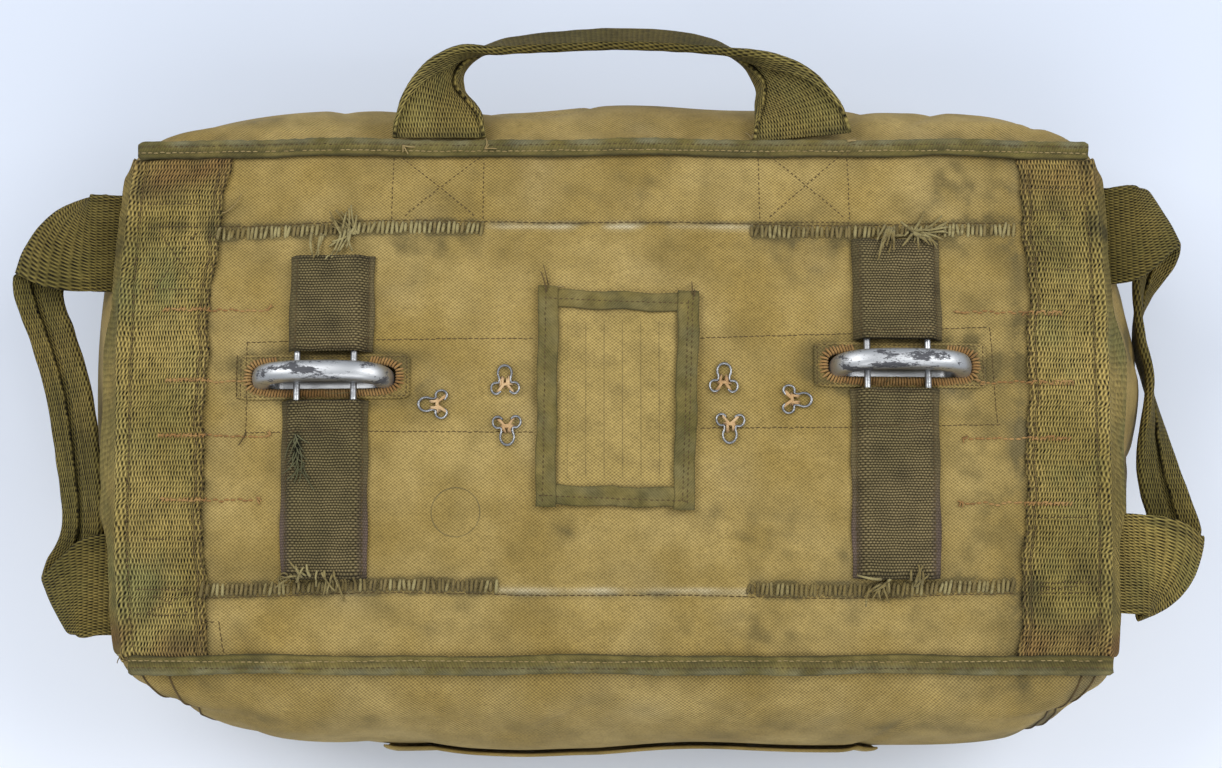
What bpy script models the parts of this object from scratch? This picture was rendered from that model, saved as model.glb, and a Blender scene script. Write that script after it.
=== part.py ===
"""A packed chest parachute that lies on its ripcord side, with its back panel and rings up.

Metres, +Z up. The origin is the centre of the flat underside, and the long side runs along X.
The canvas container is one filled solid; every sewn-on piece is a sheet that follows its facets.
"""
import math
from collections import namedtuple

import bmesh
import bpy
from mathutils import Matrix, Vector

for item in list(bpy.data.objects):
    bpy.data.objects.remove(item)

# Back panel, seam to seam.
PANEL_HALF_LENGTH = 0.2165
PANEL_HALF_WIDTH = 0.1160
PANEL_CENTRE_Y = 0.0020
CORNER_HEIGHT = 0.1210
EDGE_RISE = 0.0040
CROWN_RISE = 0.0130
CROWN_POWER = 2.6
PANEL_COLUMNS = 26
PANEL_ROWS = 14

# Cross seams, sewn down as shallow channels.
SEAM_YS = (-0.0795, 0.0765)
SEAM_DEPTH = 0.0022
SEAM_REACH = 0.0045
SEAM_ROW_STEP = 0.0060
SEAM_FADE_POWER = 0.7

# Cloth and webbing.
SEAT_GAP = 0.0004
CANVAS_THICKNESS = 0.0011
TAPE_THICKNESS = 0.0015
WEBBING_THICKNESS = 0.0020
HEM_THICKNESS = 0.0022
BINDING_HALF_WIDTH = 0.0036
BINDING_HALF_THICKNESS = 0.0018

# Harness rings and the wires that hold them.
RING_HALF_WIDTH = 0.0272
RING_CROWN_HEIGHT = 0.0140
RING_BASE_DEPTH = 0.0160
RING_WIDEST_DEPTH = 0.0020
RING_BAR_RADIAL = 0.0046
RING_BAR_NORMAL = 0.0047
RING_LEAN = math.radians(9)
RING_SLOT_OFFSET = -0.0012
RECESS_HALF_LENGTH = 0.0335
RECESS_HALF_WIDTH = 0.0115
RECESS_FLOOR_GAP = 0.0003
RECESS_SHIFT = 0.0014
RECESS_CLEAR_HEIGHT = 0.0200
RECESS_POINTS = 24
WIRE_RADIUS = 0.0016
WIRE_LIFT_UNDER_TAPE = 0.0021
WIRE_LIFT_OVER_SLOT = 0.0039
RIDGE_CLEARANCE = 0.0008
RIDGE_SHOULDER = 0.0019
RIDGE_SHOULDER_DROP = 0.0015
RIDGE_REACH = 0.0056

# Buttonholed slots.
PATCH_HALF_LENGTH = 0.0380
PATCH_HALF_WIDTH = 0.0099
SLOT_HALF_LENGTH = 0.0330
SLOT_HALF_WIDTH = 0.0065
BEAD_WIDTH = 0.0031
BEAD_HEIGHT = 0.0015

# Handles: webbing folded lengthwise in the grip.
HANDLE_THICKNESS = 0.0020
HANDLE_FOLDED_THICKNESS = 0.0050
HANDLE_GROOVE_DEPTH = 0.0013

Section = namedtuple("Section", "height half_length half_width squareness")
SIDE_SECTIONS = (
    Section(0.955, 0.2192, 0.1235, 30.0),
    Section(0.880, 0.2255, 0.1345, 10.0),
    Section(0.760, 0.2322, 0.1430, 6.4),
    Section(0.580, 0.2368, 0.1480, 5.2),
    Section(0.400, 0.2360, 0.1475, 5.1),
    Section(0.240, 0.2305, 0.1420, 5.0),
    Section(0.110, 0.2200, 0.1320, 4.7),
    Section(0.030, 0.2070, 0.1200, 4.5),
    Section(0.000, 0.1980, 0.1120, 4.5),
)
SIDE_SHIFT = -0.0018

# How far each corner of the panel is drawn in: keys are the corner's sides along X and Y.
CORNER_DRAWS = {(-1, 1): 0.0040, (-1, -1): 0.0055, (1, 1): 0.0038, (1, -1): 0.0026}
CORNER_DRAW_POWER_X = 6
CORNER_DRAW_POWER_Y = 4
CORNER_DRAW_LOWEST = 0.60

Bulge = namedtuple("Bulge", "x y z reach height")
BULGES = (
    Bulge(-0.2380, 0.0300, 0.070, 0.055, 0.0050),
    Bulge(0.2380, 0.0125, 0.072, 0.034, 0.0078),
    Bulge(0.2380, 0.0520, 0.075, 0.036, 0.0028),
    Bulge(0.1700, 0.1450, 0.070, 0.050, 0.0030),
    Bulge(0.0300, 0.1480, 0.060, 0.070, 0.0020),
    Bulge(-0.1300, 0.1480, 0.065, 0.050, 0.0022),
    Bulge(0.1700, -0.1450, 0.060, 0.045, 0.0026),
    Bulge(-0.1000, -0.1480, 0.055, 0.080, 0.0015),
)


# ---------------------------------------------------------------- helpers

def finish(piece, name, colour, roughness, metallic=0.0):
    """Name a piece, put it in the scene and give it its own material."""
    piece.name = name
    if piece.name not in bpy.context.scene.collection.objects:
        bpy.context.scene.collection.objects.link(piece)
    material = bpy.data.materials.new(name)
    material.use_nodes = True
    shader = material.node_tree.nodes["Principled BSDF"]
    shader.inputs["Base Color"].default_value = (*colour, 1.0)
    shader.inputs["Roughness"].default_value = roughness
    shader.inputs["Metallic"].default_value = metallic
    piece.data.materials.clear()
    piece.data.materials.append(material)
    return piece


def piece_from(bm, name):
    mesh = bpy.data.meshes.new(name)
    bm.to_mesh(mesh)
    bm.free()
    mesh.shade_smooth()
    mesh.set_sharp_from_angle(angle=math.radians(40))
    return bpy.data.objects.new(name, mesh)


def between(start, end, share):
    return start + (end - start) * share


def spread(start, end, count):
    """count + 1 evenly spaced numbers from start to end."""
    return [between(start, end, index / count) for index in range(count + 1)]


def signed_power(value, power):
    return math.copysign(abs(value) ** power, value)


def superellipse(half_length, half_width, squareness, angle):
    """A point of a rounded rectangle that grows squarer with squareness."""
    return (half_length * signed_power(math.cos(angle), 2 / squareness),
            half_width * signed_power(math.sin(angle), 2 / squareness))


def circle_angles(count):
    return [2 * math.pi * index / count for index in range(count)]


def read_table(rows, key):
    """Values of the row at key, in a straight line between the rows around it."""
    for before, after in zip(rows, rows[1:]):
        if key <= after[0]:
            share = max(0.0, (key - before[0]) / (after[0] - before[0]))
            return [between(a, b, share) for a, b in zip(before, after)]
    return list(rows[-1])


def curve_through(rows, per_row):
    """Rows of numbers on a smooth curve (Catmull-Rom) through the given rows."""
    result = []
    for index in range(len(rows) - 1):
        p0 = rows[max(index - 1, 0)]
        p1 = rows[index]
        p2 = rows[index + 1]
        p3 = rows[min(index + 2, len(rows) - 1)]
        for step in range(per_row):
            t = step / per_row
            result.append([0.5 * (2 * b + (c - a) * t + (2 * a - 5 * b + 4 * c - d) * t * t
                                  + (3 * b - a - 3 * c + d) * t * t * t)
                           for a, b, c, d in zip(p0, p1, p2, p3)])
    result.append(list(rows[-1]))
    return result


def loft(rings, closed_path=False):
    """A closed body through rings of as many points each, capped unless the path closes."""
    bm = bmesh.new()
    loops = [[bm.verts.new(point) for point in ring] for ring in rings]
    pairs = list(zip(loops, loops[1:]))
    if closed_path:
        pairs.append((loops[-1], loops[0]))
    else:
        bm.faces.new(loops[0])
        bm.faces.new(loops[-1])
    for first, second in pairs:
        for index in range(len(first)):
            after = (index + 1) % len(first)
            bm.faces.new((first[index], first[after], second[after], second[index]))
    bmesh.ops.recalc_face_normals(bm, faces=bm.faces)
    return bm


def tube(points, radius, sides):
    """A round rod along a list of points."""
    rings = []
    for index, point in enumerate(points):
        ahead = points[min(index + 1, len(points) - 1)] - points[max(index - 1, 0)]
        along = ahead.normalized()
        side = along.cross(Vector((0, 0, 1))).normalized()
        up = side.cross(along)
        rings.append([point + side * radius * math.cos(a) + up * radius * math.sin(a)
                      for a in circle_angles(sides)])
    return loft(rings)


def grid_sheet(points, name, gap, thickness, up=Vector((0, 0, 1))):
    """A sheet over rows of surface points: lifted by gap, then thickened away from them."""
    bm = bmesh.new()
    rows = [[bm.verts.new(point) for point in row] for row in points]
    for first, second in zip(rows, rows[1:]):
        for index in range(len(first) - 1):
            bm.faces.new((first[index], first[index + 1], second[index + 1], second[index]))
    return thicken(bm, name, gap, thickness, up)


def thicken(bm, name, gap, thickness, up):
    """Lift an open mesh off what it lies on, on the side that up points to, and thicken it."""
    bmesh.ops.recalc_face_normals(bm, faces=bm.faces)
    bm.normal_update()
    if sum((face.normal for face in bm.faces), Vector()).dot(up) < 0:
        bmesh.ops.reverse_faces(bm, faces=bm.faces)
        bm.normal_update()
    lifts = [vert.normal * gap for vert in bm.verts]
    for vert, lift in zip(bm.verts, lifts):
        vert.co += lift
    piece = piece_from(bm, name)
    solidify = piece.modifiers.new("thickness", "SOLIDIFY")
    solidify.thickness = thickness
    solidify.offset = 1.0
    solidify.use_even_offset = True
    return piece


# ---------------------------------------------------------------- the canvas body

def panel_height(x, y):
    """Height of the crowned back panel over the ground."""
    across = 1 - min(1.0, abs(x / PANEL_HALF_LENGTH)) ** CROWN_POWER
    along = 1 - min(1.0, abs((y - PANEL_CENTRE_Y) / PANEL_HALF_WIDTH)) ** CROWN_POWER
    height = CORNER_HEIGHT + EDGE_RISE * (across + along - across * along)
    height += CROWN_RISE * across * along
    for seam_y in SEAM_YS:
        height -= SEAM_DEPTH * math.exp(-((y - seam_y) / SEAM_REACH) ** 2) * across ** SEAM_FADE_POWER
    return height


def drawn_in(x, y):
    """How far a point of the panel moves along X, because its corners are drawn in."""
    u = x / PANEL_HALF_LENGTH
    v = (y - PANEL_CENTRE_Y) / PANEL_HALF_WIDTH
    depth = CORNER_DRAWS[1 if u > 0 else -1, 1 if v > 0 else -1]
    return -math.copysign(depth * abs(u) ** CORNER_DRAW_POWER_X * abs(v) ** CORNER_DRAW_POWER_Y, u)


def panel_vertex(x, y):
    """A corner of the panel's facets."""
    return Vector((x + drawn_in(x, y), y, panel_height(x, y)))


def panel_lines():
    """The X and the Y of the panel's grid, with three rows at each seam."""
    columns = spread(-PANEL_HALF_LENGTH, PANEL_HALF_LENGTH, PANEL_COLUMNS)
    rows = [y for y in spread(PANEL_CENTRE_Y - PANEL_HALF_WIDTH, PANEL_CENTRE_Y + PANEL_HALF_WIDTH,
                              PANEL_ROWS)
            if all(abs(y - seam_y) > 1.6 * SEAM_ROW_STEP for seam_y in SEAM_YS)]
    for seam_y in SEAM_YS:
        rows += [seam_y - SEAM_ROW_STEP, seam_y, seam_y + SEAM_ROW_STEP]
    return columns, sorted(rows)


COLUMNS, ROWS = panel_lines()


def cell(lines, value):
    """The grid lines on both sides of a value, and its share of the way between them."""
    for low, high in zip(lines, lines[1:]):
        if value <= high:
            break
    share = min(1.0, max(0.0, (value - low) / (high - low)))
    return low, high, share


def lines_within(lines, start, end):
    """start, the grid lines between it and end, and end; the same count for near-equal spans."""
    low, high = sorted((start, end))
    margin = 0.001
    inside = [line for line in lines if low + margin < line < high - margin]
    values = [low] + inside + [high]
    return values if start < end else values[::-1]


def on_panel(x, y):
    """The point of the panel's facets over x, y."""
    left, right, across = cell(COLUMNS, x)
    low, high, along = cell(ROWS, y)
    near = between(panel_vertex(left, low), panel_vertex(right, low), across)
    far = between(panel_vertex(left, high), panel_vertex(right, high), across)
    return between(near, far, along)


def on_section(u, v, section):
    """Where the panel edge point u, v, of -1 to 1 each, comes to at one section of the sides."""
    power = section.squareness
    size = (abs(u) ** power + abs(v) ** power) ** (1 / power)
    top = panel_vertex(u * PANEL_HALF_LENGTH, PANEL_CENTRE_Y + v * PANEL_HALF_WIDTH)
    point = Vector((section.half_length * u / size, section.half_width * v / size,
                    section.height * top.z))
    point.y += SIDE_SHIFT * math.sin(section.height * math.pi)
    hold = max(0.0, (section.height - CORNER_DRAW_LOWEST) / (1 - CORNER_DRAW_LOWEST))
    point.x += (top.x - u * PANEL_HALF_LENGTH) * hold
    outward = Vector((point.x / section.half_length ** 2, point.y / section.half_width ** 2, 0))
    outward.normalize()
    for bulge in BULGES:
        distance = (point - Vector((bulge.x, bulge.y, bulge.z))).length
        swell = bulge.height * math.exp(-(distance / bulge.reach) ** 2)
        point += outward * swell * min(1.0, section.height * 8)
    return point


def side_vertex(x, y, level):
    """A corner of the sides' facets: level 0 is the panel's edge, 1 the first section, and so on."""
    if level == 0:
        return panel_vertex(x, y)
    u = x / PANEL_HALF_LENGTH
    v = (y - PANEL_CENTRE_Y) / PANEL_HALF_WIDTH
    return on_section(u, v, SIDE_SECTIONS[level - 1])


def on_side(x, y, level):
    """The point of the sides' facets under the panel edge's point x, y."""
    left, right, across = cell(COLUMNS, x)
    low, high, along = cell(ROWS, y)
    if abs(x) >= PANEL_HALF_LENGTH:
        ends = ((x, low), (x, high))
        share = along
    else:
        ends = ((left, y), (right, y))
        share = across
    above = min(int(level), len(SIDE_SECTIONS) - 1)
    points = [between(side_vertex(*end, above), side_vertex(*end, above + 1), level - above)
              for end in ends]
    return between(*points, share)


def make_body():
    bm = bmesh.new()
    rows = len(ROWS) - 1
    bmesh.ops.create_grid(bm, x_segments=PANEL_COLUMNS, y_segments=rows, size=1.0)
    u_layer = bm.verts.layers.float.new("u")
    v_layer = bm.verts.layers.float.new("v")
    for vert in bm.verts:
        x = COLUMNS[round((vert.co.x + 1) / 2 * PANEL_COLUMNS)]
        y = ROWS[round((vert.co.y + 1) / 2 * rows)]
        vert[u_layer] = x / PANEL_HALF_LENGTH
        vert[v_layer] = (y - PANEL_CENTRE_Y) / PANEL_HALF_WIDTH
        vert.co = panel_vertex(x, y)
    rim = [edge for edge in bm.edges if edge.is_boundary]
    for section in SIDE_SECTIONS:
        grown = bmesh.ops.extrude_edge_only(bm, edges=rim)["geom"]
        for vert in grown:
            if isinstance(vert, bmesh.types.BMVert):
                vert.co = on_section(vert[u_layer], vert[v_layer], section)
        rim = [edge for edge in grown if isinstance(edge, bmesh.types.BMEdge) and edge.is_boundary]
    bmesh.ops.edgeloop_fill(bm, edges=rim)
    bmesh.ops.recalc_face_normals(bm, faces=bm.faces)
    return finish(piece_from(bm, "body"), "body", (0.36, 0.27, 0.12), 0.92)


body = make_body()


# ---------------------------------------------------------------- edge webbing

WebbingRow = namedtuple("WebbingRow", "y inner_left inner_right")
WEBBING_ROWS = (
    WebbingRow(-0.1090, -0.1765, 0.1745),
    WebbingRow(-0.0300, -0.1765, 0.1790),
    WebbingRow(0.0500, -0.1755, 0.1815),
    WebbingRow(0.1120, -0.1710, 0.1805),
)
WEBBING_SIDE_LEVELS = (0.0, 0.9, 1.35)
WEBBING_END_LEVELS = (0.0, 0.5, 0.9)
WEBBING_SLACK = 0.0009
WEBBING_END_SLACK = 0.0026


def make_edge_webbing(name, side):
    """Webbing from its inner edge to the panel's edge and a little down the side."""
    rows = []
    ends = (WEBBING_ROWS[0].y, WEBBING_ROWS[-1].y)
    for y in lines_within(ROWS, *ends):
        _, inner_left, inner_right = read_table(WEBBING_ROWS, y)
        inner = inner_left if side < 0 else inner_right
        edge_x = side * PANEL_HALF_LENGTH
        row = [on_panel(x, y) for x in lines_within(COLUMNS, inner, edge_x)[:-1]]
        levels = WEBBING_END_LEVELS if y in ends else WEBBING_SIDE_LEVELS
        slack = Vector((side * (WEBBING_END_SLACK if y in ends else WEBBING_SLACK), 0, 0))
        row += [on_side(edge_x, y, level) + slack * level for level in levels]
        rows.append(row)
    piece = grid_sheet(rows, name, SEAT_GAP, WEBBING_THICKNESS, Vector((side, 0, 1)))
    return finish(piece, name, (0.22, 0.19, 0.09), 0.95)


make_edge_webbing("edge_webbing_left", -1)
make_edge_webbing("edge_webbing_right", 1)


# ---------------------------------------------------------------- bindings of the long seams

BINDING_OVERHANG = 0.0014
BINDING_INSET = 0.0012
BINDING_LIFT = 0.0036
BINDING_STATIONS = 28
BINDING_TILT = math.radians(14)


def make_binding(name, side, wave):
    """Tape folded over the seam: a flat ridge along one long edge of the panel."""
    edge_y = PANEL_CENTRE_Y + side * PANEL_HALF_WIDTH
    rings = []
    for x in spread(-PANEL_HALF_LENGTH - BINDING_OVERHANG, PANEL_HALF_LENGTH + BINDING_OVERHANG,
                    BINDING_STATIONS):
        held_x = max(-PANEL_HALF_LENGTH, min(PANEL_HALF_LENGTH, x))
        seat = on_panel(held_x, edge_y)
        ripple = wave * math.sin(x * 46 + side) + 0.6 * wave * math.sin(x * 91)
        centre = seat + Vector((x - held_x, -side * (BINDING_INSET - ripple), BINDING_LIFT))
        ring = []
        for angle in circle_angles(8):
            out, up = superellipse(BINDING_HALF_WIDTH, BINDING_HALF_THICKNESS, 3.0, angle)
            level_out = out * math.cos(BINDING_TILT) + up * math.sin(BINDING_TILT)
            level_up = up * math.cos(BINDING_TILT) - out * math.sin(BINDING_TILT)
            ring.append(centre + Vector((0, side * level_out, level_up)))
        rings.append(ring)
    return finish(piece_from(loft(rings), name), name, (0.16, 0.16, 0.08), 0.93)


make_binding("binding_top", 1, 0.0005)
make_binding("binding_bottom", -1, 0.0004)


# ---------------------------------------------------------------- rings, slots, wires and tapes

RingPlace = namedtuple("RingPlace", "name x slot_y wires wire_low wire_high")
RING_PLACES = (
    RingPlace("left", -0.1268, 0.0121, (("outer", -0.1381), ("inner", -0.1131)), -0.0730, 0.0630),
    RingPlace("right", 0.1257, 0.0173, (("inner", 0.1107), ("outer", 0.1374)), -0.0730, 0.0705),
)
RING_STATIONS = 28
RING_SIDES = 10
PATCH_POINTS = 28
WIRE_RISE_START = 0.0240
WIRE_RISE_END = 0.0100


def panel_slope(x, y):
    """The panel's tilt about Y at a ring, from its height at the ring's two ends."""
    fall = panel_height(x + RING_HALF_WIDTH, y) - panel_height(x - RING_HALF_WIDTH, y)
    return math.atan2(-fall, 2 * RING_HALF_WIDTH)


def make_ring_mesh():
    """A closed D ring in the plane of X and its own height; its bar is a rounded rectangle."""
    path = []
    for angle in circle_angles(RING_STATIONS):
        if math.sin(angle) >= 0:
            s, t = superellipse(RING_HALF_WIDTH, RING_CROWN_HEIGHT + RING_WIDEST_DEPTH, 2.8, angle)
        else:
            s, t = superellipse(RING_HALF_WIDTH, RING_BASE_DEPTH - RING_WIDEST_DEPTH, 3.6, angle)
        path.append(Vector((s, 0, t - RING_WIDEST_DEPTH)))
    rings = []
    for index, point in enumerate(path):
        along = (path[(index + 1) % RING_STATIONS] - path[index - 1]).normalized()
        outward = Vector((along.z, 0, -along.x))
        ring = []
        for angle in circle_angles(RING_SIDES):
            radial, normal = superellipse(RING_BAR_RADIAL, RING_BAR_NORMAL, 2.8, angle)
            ring.append(point + outward * radial + Vector((0, normal, 0)))
        rings.append(ring)
    return loft(rings, closed_path=True)


def ring_seat(place):
    """Where a ring's own axes stand: on the panel at its slot, leaning back."""
    y = place.slot_y + RING_SLOT_OFFSET
    seat = Vector((place.x, y, panel_height(place.x, y)))
    return (Matrix.Translation(seat) @ Matrix.Rotation(panel_slope(place.x, y), 4, "Y")
            @ Matrix.Rotation(-RING_LEAN, 4, "X"))


def make_rings():
    for place in RING_PLACES:
        name = "d_ring_" + place.name
        ring = piece_from(make_ring_mesh(), name)
        ring.matrix_world = ring_seat(place)
        finish(ring, name, (0.60, 0.60, 0.61), 0.30, 1.0)


def cut_recess(place):
    """The pocket in the filled body that takes the hidden half of a ring."""
    name = "recess_cutter_" + place.name
    floor = RING_BASE_DEPTH + RING_BAR_RADIAL + RECESS_FLOOR_GAP
    ring = [superellipse(RECESS_HALF_LENGTH, RECESS_HALF_WIDTH, 4, angle)
            for angle in circle_angles(RECESS_POINTS)]
    rings = [[Vector((x, y - RECESS_SHIFT, z)) for x, y in ring] for z in (-floor, RECESS_CLEAR_HEIGHT)]
    cutter = piece_from(loft(rings), name)
    bpy.context.scene.collection.objects.link(cutter)
    seat = Vector((place.x, place.slot_y, panel_height(place.x, place.slot_y)))
    slope = panel_slope(place.x, place.slot_y)
    cutter.matrix_world = Matrix.Translation(seat) @ Matrix.Rotation(slope, 4, "Y")
    cutter.hide_render = True
    cutter.display_type = "WIRE"
    cut = body.modifiers.new(name, "BOOLEAN")
    cut.operation = "DIFFERENCE"
    cut.solver = "EXACT"
    cut.object = cutter


def make_slot_patch(place):
    """A facing strip with a buttonholed slot: its thread bead stands up round the opening."""
    name = "slot_patch_" + place.name
    bead_length = SLOT_HALF_LENGTH + BEAD_WIDTH
    bead_width = SLOT_HALF_WIDTH + BEAD_WIDTH
    loops = (
        (PATCH_HALF_LENGTH, PATCH_HALF_WIDTH, 14, SEAT_GAP),
        (PATCH_HALF_LENGTH, PATCH_HALF_WIDTH, 14, SEAT_GAP + CANVAS_THICKNESS),
        (bead_length, bead_width, 7, SEAT_GAP + CANVAS_THICKNESS),
        (bead_length - BEAD_WIDTH / 2, bead_width - BEAD_WIDTH / 2, 8, SEAT_GAP + BEAD_HEIGHT),
        (SLOT_HALF_LENGTH, SLOT_HALF_WIDTH, 9, SEAT_GAP + CANVAS_THICKNESS),
        (SLOT_HALF_LENGTH, SLOT_HALF_WIDTH, 9, SEAT_GAP),
    )
    rings = []
    for half_length, half_width, squareness, lift in loops:
        ring = []
        for angle in circle_angles(PATCH_POINTS):
            x, y = superellipse(half_length, half_width, squareness, angle)
            ring.append(on_panel(place.x + x, place.slot_y + y) + Vector((0, 0, lift)))
        rings.append(ring)
    return finish(piece_from(loft(rings, closed_path=True), name), name, (0.40, 0.26, 0.13), 0.90)


def wire_lift(y, place):
    """Height of a wire's axis over the panel: low under the tapes, higher over the slot."""
    distance = abs(y - place.slot_y)
    share = min(1.0, max(0.0, (WIRE_RISE_START - distance) / (WIRE_RISE_START - WIRE_RISE_END)))
    share = share * share * (3 - 2 * share)
    return between(WIRE_LIFT_UNDER_TAPE, WIRE_LIFT_OVER_SLOT, share)


RISE_STEPS = (-0.0240, -0.0190, -0.0145, -0.0100, 0.0, 0.0100, 0.0145, 0.0190, 0.0240)
WIRE_END_MARGIN = 0.0006


def wire_lines(low, high, place):
    """The Y of a wire's or tape's rows: the panel's own lines, the rise and the wire's ends."""
    lines = ROWS + [place.slot_y + step for step in RISE_STEPS]
    lines += [place.wire_low - WIRE_END_MARGIN, place.wire_high + WIRE_END_MARGIN]
    return lines_within(sorted(lines), low, high)


def make_wires():
    for place in RING_PLACES:
        for which, x in place.wires:
            points = [on_panel(x, y) + Vector((0, 0, wire_lift(y, place)))
                      for y in wire_lines(place.wire_low, place.wire_high, place)]
            name = "ring_wire_" + place.name + "_" + which
            finish(piece_from(tube(points, WIRE_RADIUS, 8), name), name, (0.62, 0.62, 0.63), 0.28, 1.0)


TapePlace = namedtuple("TapePlace", "name ring left right low high")
TAPE_PLACES = (
    TapePlace("upper_left", 0, -0.1411, -0.1050, 0.0228, 0.0656),
    TapePlace("lower_left", 0, -0.1445, -0.1067, -0.0753, 0.0014),
    TapePlace("upper_right", 1, 0.1059, 0.1441, 0.0280, 0.0737),
    TapePlace("lower_right", 1, 0.1035, 0.1413, -0.0753, 0.0066),
)
RIDGE_STEPS = (-RIDGE_REACH, -RIDGE_SHOULDER, 0.0, RIDGE_SHOULDER, RIDGE_REACH)
RIDGE_END_SHARE = 0.35


def ridge_height(x, y, place):
    """How far a tape stands off the panel where it passes over the wires."""
    height = 0.0
    crest = wire_lift(y, place) + WIRE_RADIUS + RIDGE_CLEARANCE - SEAT_GAP
    shoulder = crest - RIDGE_SHOULDER_DROP
    for _, wire_x in place.wires:
        distance = abs(x - wire_x)
        if distance <= RIDGE_SHOULDER:
            height = between(crest, shoulder, distance / RIDGE_SHOULDER)
        elif distance < RIDGE_REACH:
            share = (distance - RIDGE_SHOULDER) / (RIDGE_REACH - RIDGE_SHOULDER)
            height = between(shoulder, 0.0, share)
    beyond = max(place.wire_low - y, y - place.wire_high)
    return height * RIDGE_END_SHARE if beyond > 2 * WIRE_END_MARGIN else height


def tape_columns(tape):
    """The X of a tape's columns: its edges and five across each wire's ridge, where they fit."""
    columns = [tape.left, tape.right]
    for _, wire_x in RING_PLACES[tape.ring].wires:
        columns += [wire_x + step for step in RIDGE_STEPS
                    if tape.left + 0.001 < wire_x + step < tape.right - 0.001]
    return sorted(columns)


def make_tapes():
    for tape in TAPE_PLACES:
        place = RING_PLACES[tape.ring]
        rows = []
        for y in wire_lines(tape.low, tape.high, place):
            rows.append([on_panel(x, y) + Vector((0, 0, ridge_height(x, y, place)))
                         for x in tape_columns(tape)])
        name = "channel_tape_" + tape.name
        piece = grid_sheet(rows, name, SEAT_GAP, TAPE_THICKNESS)
        finish(piece, name, (0.15, 0.12, 0.08), 0.94)


make_rings()
for ring_place in RING_PLACES:
    cut_recess(ring_place)
    make_slot_patch(ring_place)
make_wires()
make_tapes()


# ---------------------------------------------------------------- record pocket

POCKET_CORNERS = ((-0.0330, -0.0443), (0.0318, -0.0465), (0.0358, 0.0469), (-0.0299, 0.0500))
POCKET_BINDING_WIDTH = 0.0087
POCKET_LIP = 0.0013


def in_pocket(across, along, grow=0.0):
    """A point of the pocket's outline box, 0 to 1 each way, moved out from it by grow."""
    low_left, low_right, high_right, high_left = [Vector((x, y, 0)) for x, y in POCKET_CORNERS]
    low = between(low_left, low_right, across)
    high = between(high_left, high_right, across)
    point = between(low, high, along)
    return point + Vector((grow * (2 * across - 1), grow * (2 * along - 1), 0))


def pocket_loop(grow, lift, per_side=6):
    """Points round the pocket, on the panel and raised by lift."""
    loop = []
    for index in range(4 * per_side):
        side, step = divmod(index, per_side)
        share = step / per_side
        across, along = ((share, 0), (1, share), (1 - share, 1), (0, 1 - share))[side]
        point = in_pocket(across, along, grow)
        loop.append(on_panel(point.x, point.y) + Vector((0, 0, lift)))
    return loop


def make_pocket():
    rows = []
    for along in spread(0, 1, 9):
        rows.append([on_panel(*in_pocket(across, along).xy) for across in spread(0, 1, 6)])
    panel = grid_sheet(rows, "pocket_panel", SEAT_GAP, CANVAS_THICKNESS)
    finish(panel, "pocket_panel", (0.38, 0.29, 0.14), 0.92)
    bm = bmesh.new()
    over = SEAT_GAP + CANVAS_THICKNESS + 0.0001
    loops = [pocket_loop(-POCKET_BINDING_WIDTH, over), pocket_loop(0.0001, over),
             pocket_loop(POCKET_LIP, 0.0002)]
    verts = [[bm.verts.new(point) for point in loop] for loop in loops]
    for first, second in zip(verts, verts[1:]):
        for index in range(len(first)):
            after = (index + 1) % len(first)
            bm.faces.new((first[index], second[index], second[after], first[after]))
    binding = thicken(bm, "pocket_binding", SEAT_GAP, CANVAS_THICKNESS, Vector((0, 0, 1)))
    finish(binding, "pocket_binding", (0.16, 0.16, 0.08), 0.93)


make_pocket()


# ---------------------------------------------------------------- wire eyes

EyePlace = namedtuple("EyePlace", "x y turn")
EYE_PLACES = (
    EyePlace(-0.0784, -0.0003, 90),
    EyePlace(-0.0472, 0.0102, 2),
    EyePlace(-0.0462, -0.0117, 182),
    EyePlace(0.0482, 0.0111, -2),
    EyePlace(0.0799, 0.0018, -92),
    EyePlace(0.0507, -0.0108, 177),
)
EYE_WIRE_RADIUS = 0.0007
EYE_LOOP_RADIUS = 0.0029
EYE_LOOP_CENTRE = 0.0026
EYE_CURL_RADIUS = 0.0022
EYE_CURL_CENTRE = (0.0037, -0.0029)


def arc(centre_x, centre_y, radius, start, end, count):
    """Points on an arc between two angles in degrees."""
    turns = [math.radians(angle) for angle in spread(start, end, count)]
    return [Vector((centre_x + radius * math.cos(turn), centre_y + radius * math.sin(turn), 0))
            for turn in turns]


def eye_path():
    """An omega of wire: a big loop on a neck, and a curl turned outwards at each foot."""
    half = arc(0, EYE_LOOP_CENTRE, EYE_LOOP_RADIUS, 90, -42, 6)
    half += arc(*EYE_CURL_CENTRE, EYE_CURL_RADIUS, 128, -160, 8)
    mirrored = [Vector((-point.x, point.y, 0)) for point in half[1:]]
    return list(reversed(mirrored)) + half


EYE_SLOPE_STEP = 0.005


def panel_normal(x, y):
    """The panel's own upward direction at a point, from its height on four sides of it."""
    step = EYE_SLOPE_STEP
    normal = Vector((panel_height(x - step, y) - panel_height(x + step, y),
                     panel_height(x, y - step) - panel_height(x, y + step), 2 * step))
    return normal.normalized()


def make_eyes():
    for index, place in enumerate(EYE_PLACES):
        name = "wire_eye_" + str(index + 1)
        eye = piece_from(tube(eye_path(), EYE_WIRE_RADIUS, 5), name)
        up = panel_normal(place.x, place.y)
        tilt = Vector((0, 0, 1)).rotation_difference(up).to_matrix().to_4x4()
        height = panel_height(place.x, place.y) + EYE_WIRE_RADIUS + SEAT_GAP
        turn = Matrix.Rotation(math.radians(place.turn), 4, "Z")
        eye.matrix_world = Matrix.Translation((place.x, place.y, height)) @ tilt @ turn
        finish(eye, name, (0.62, 0.62, 0.60), 0.35, 1.0)


make_eyes()


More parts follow.
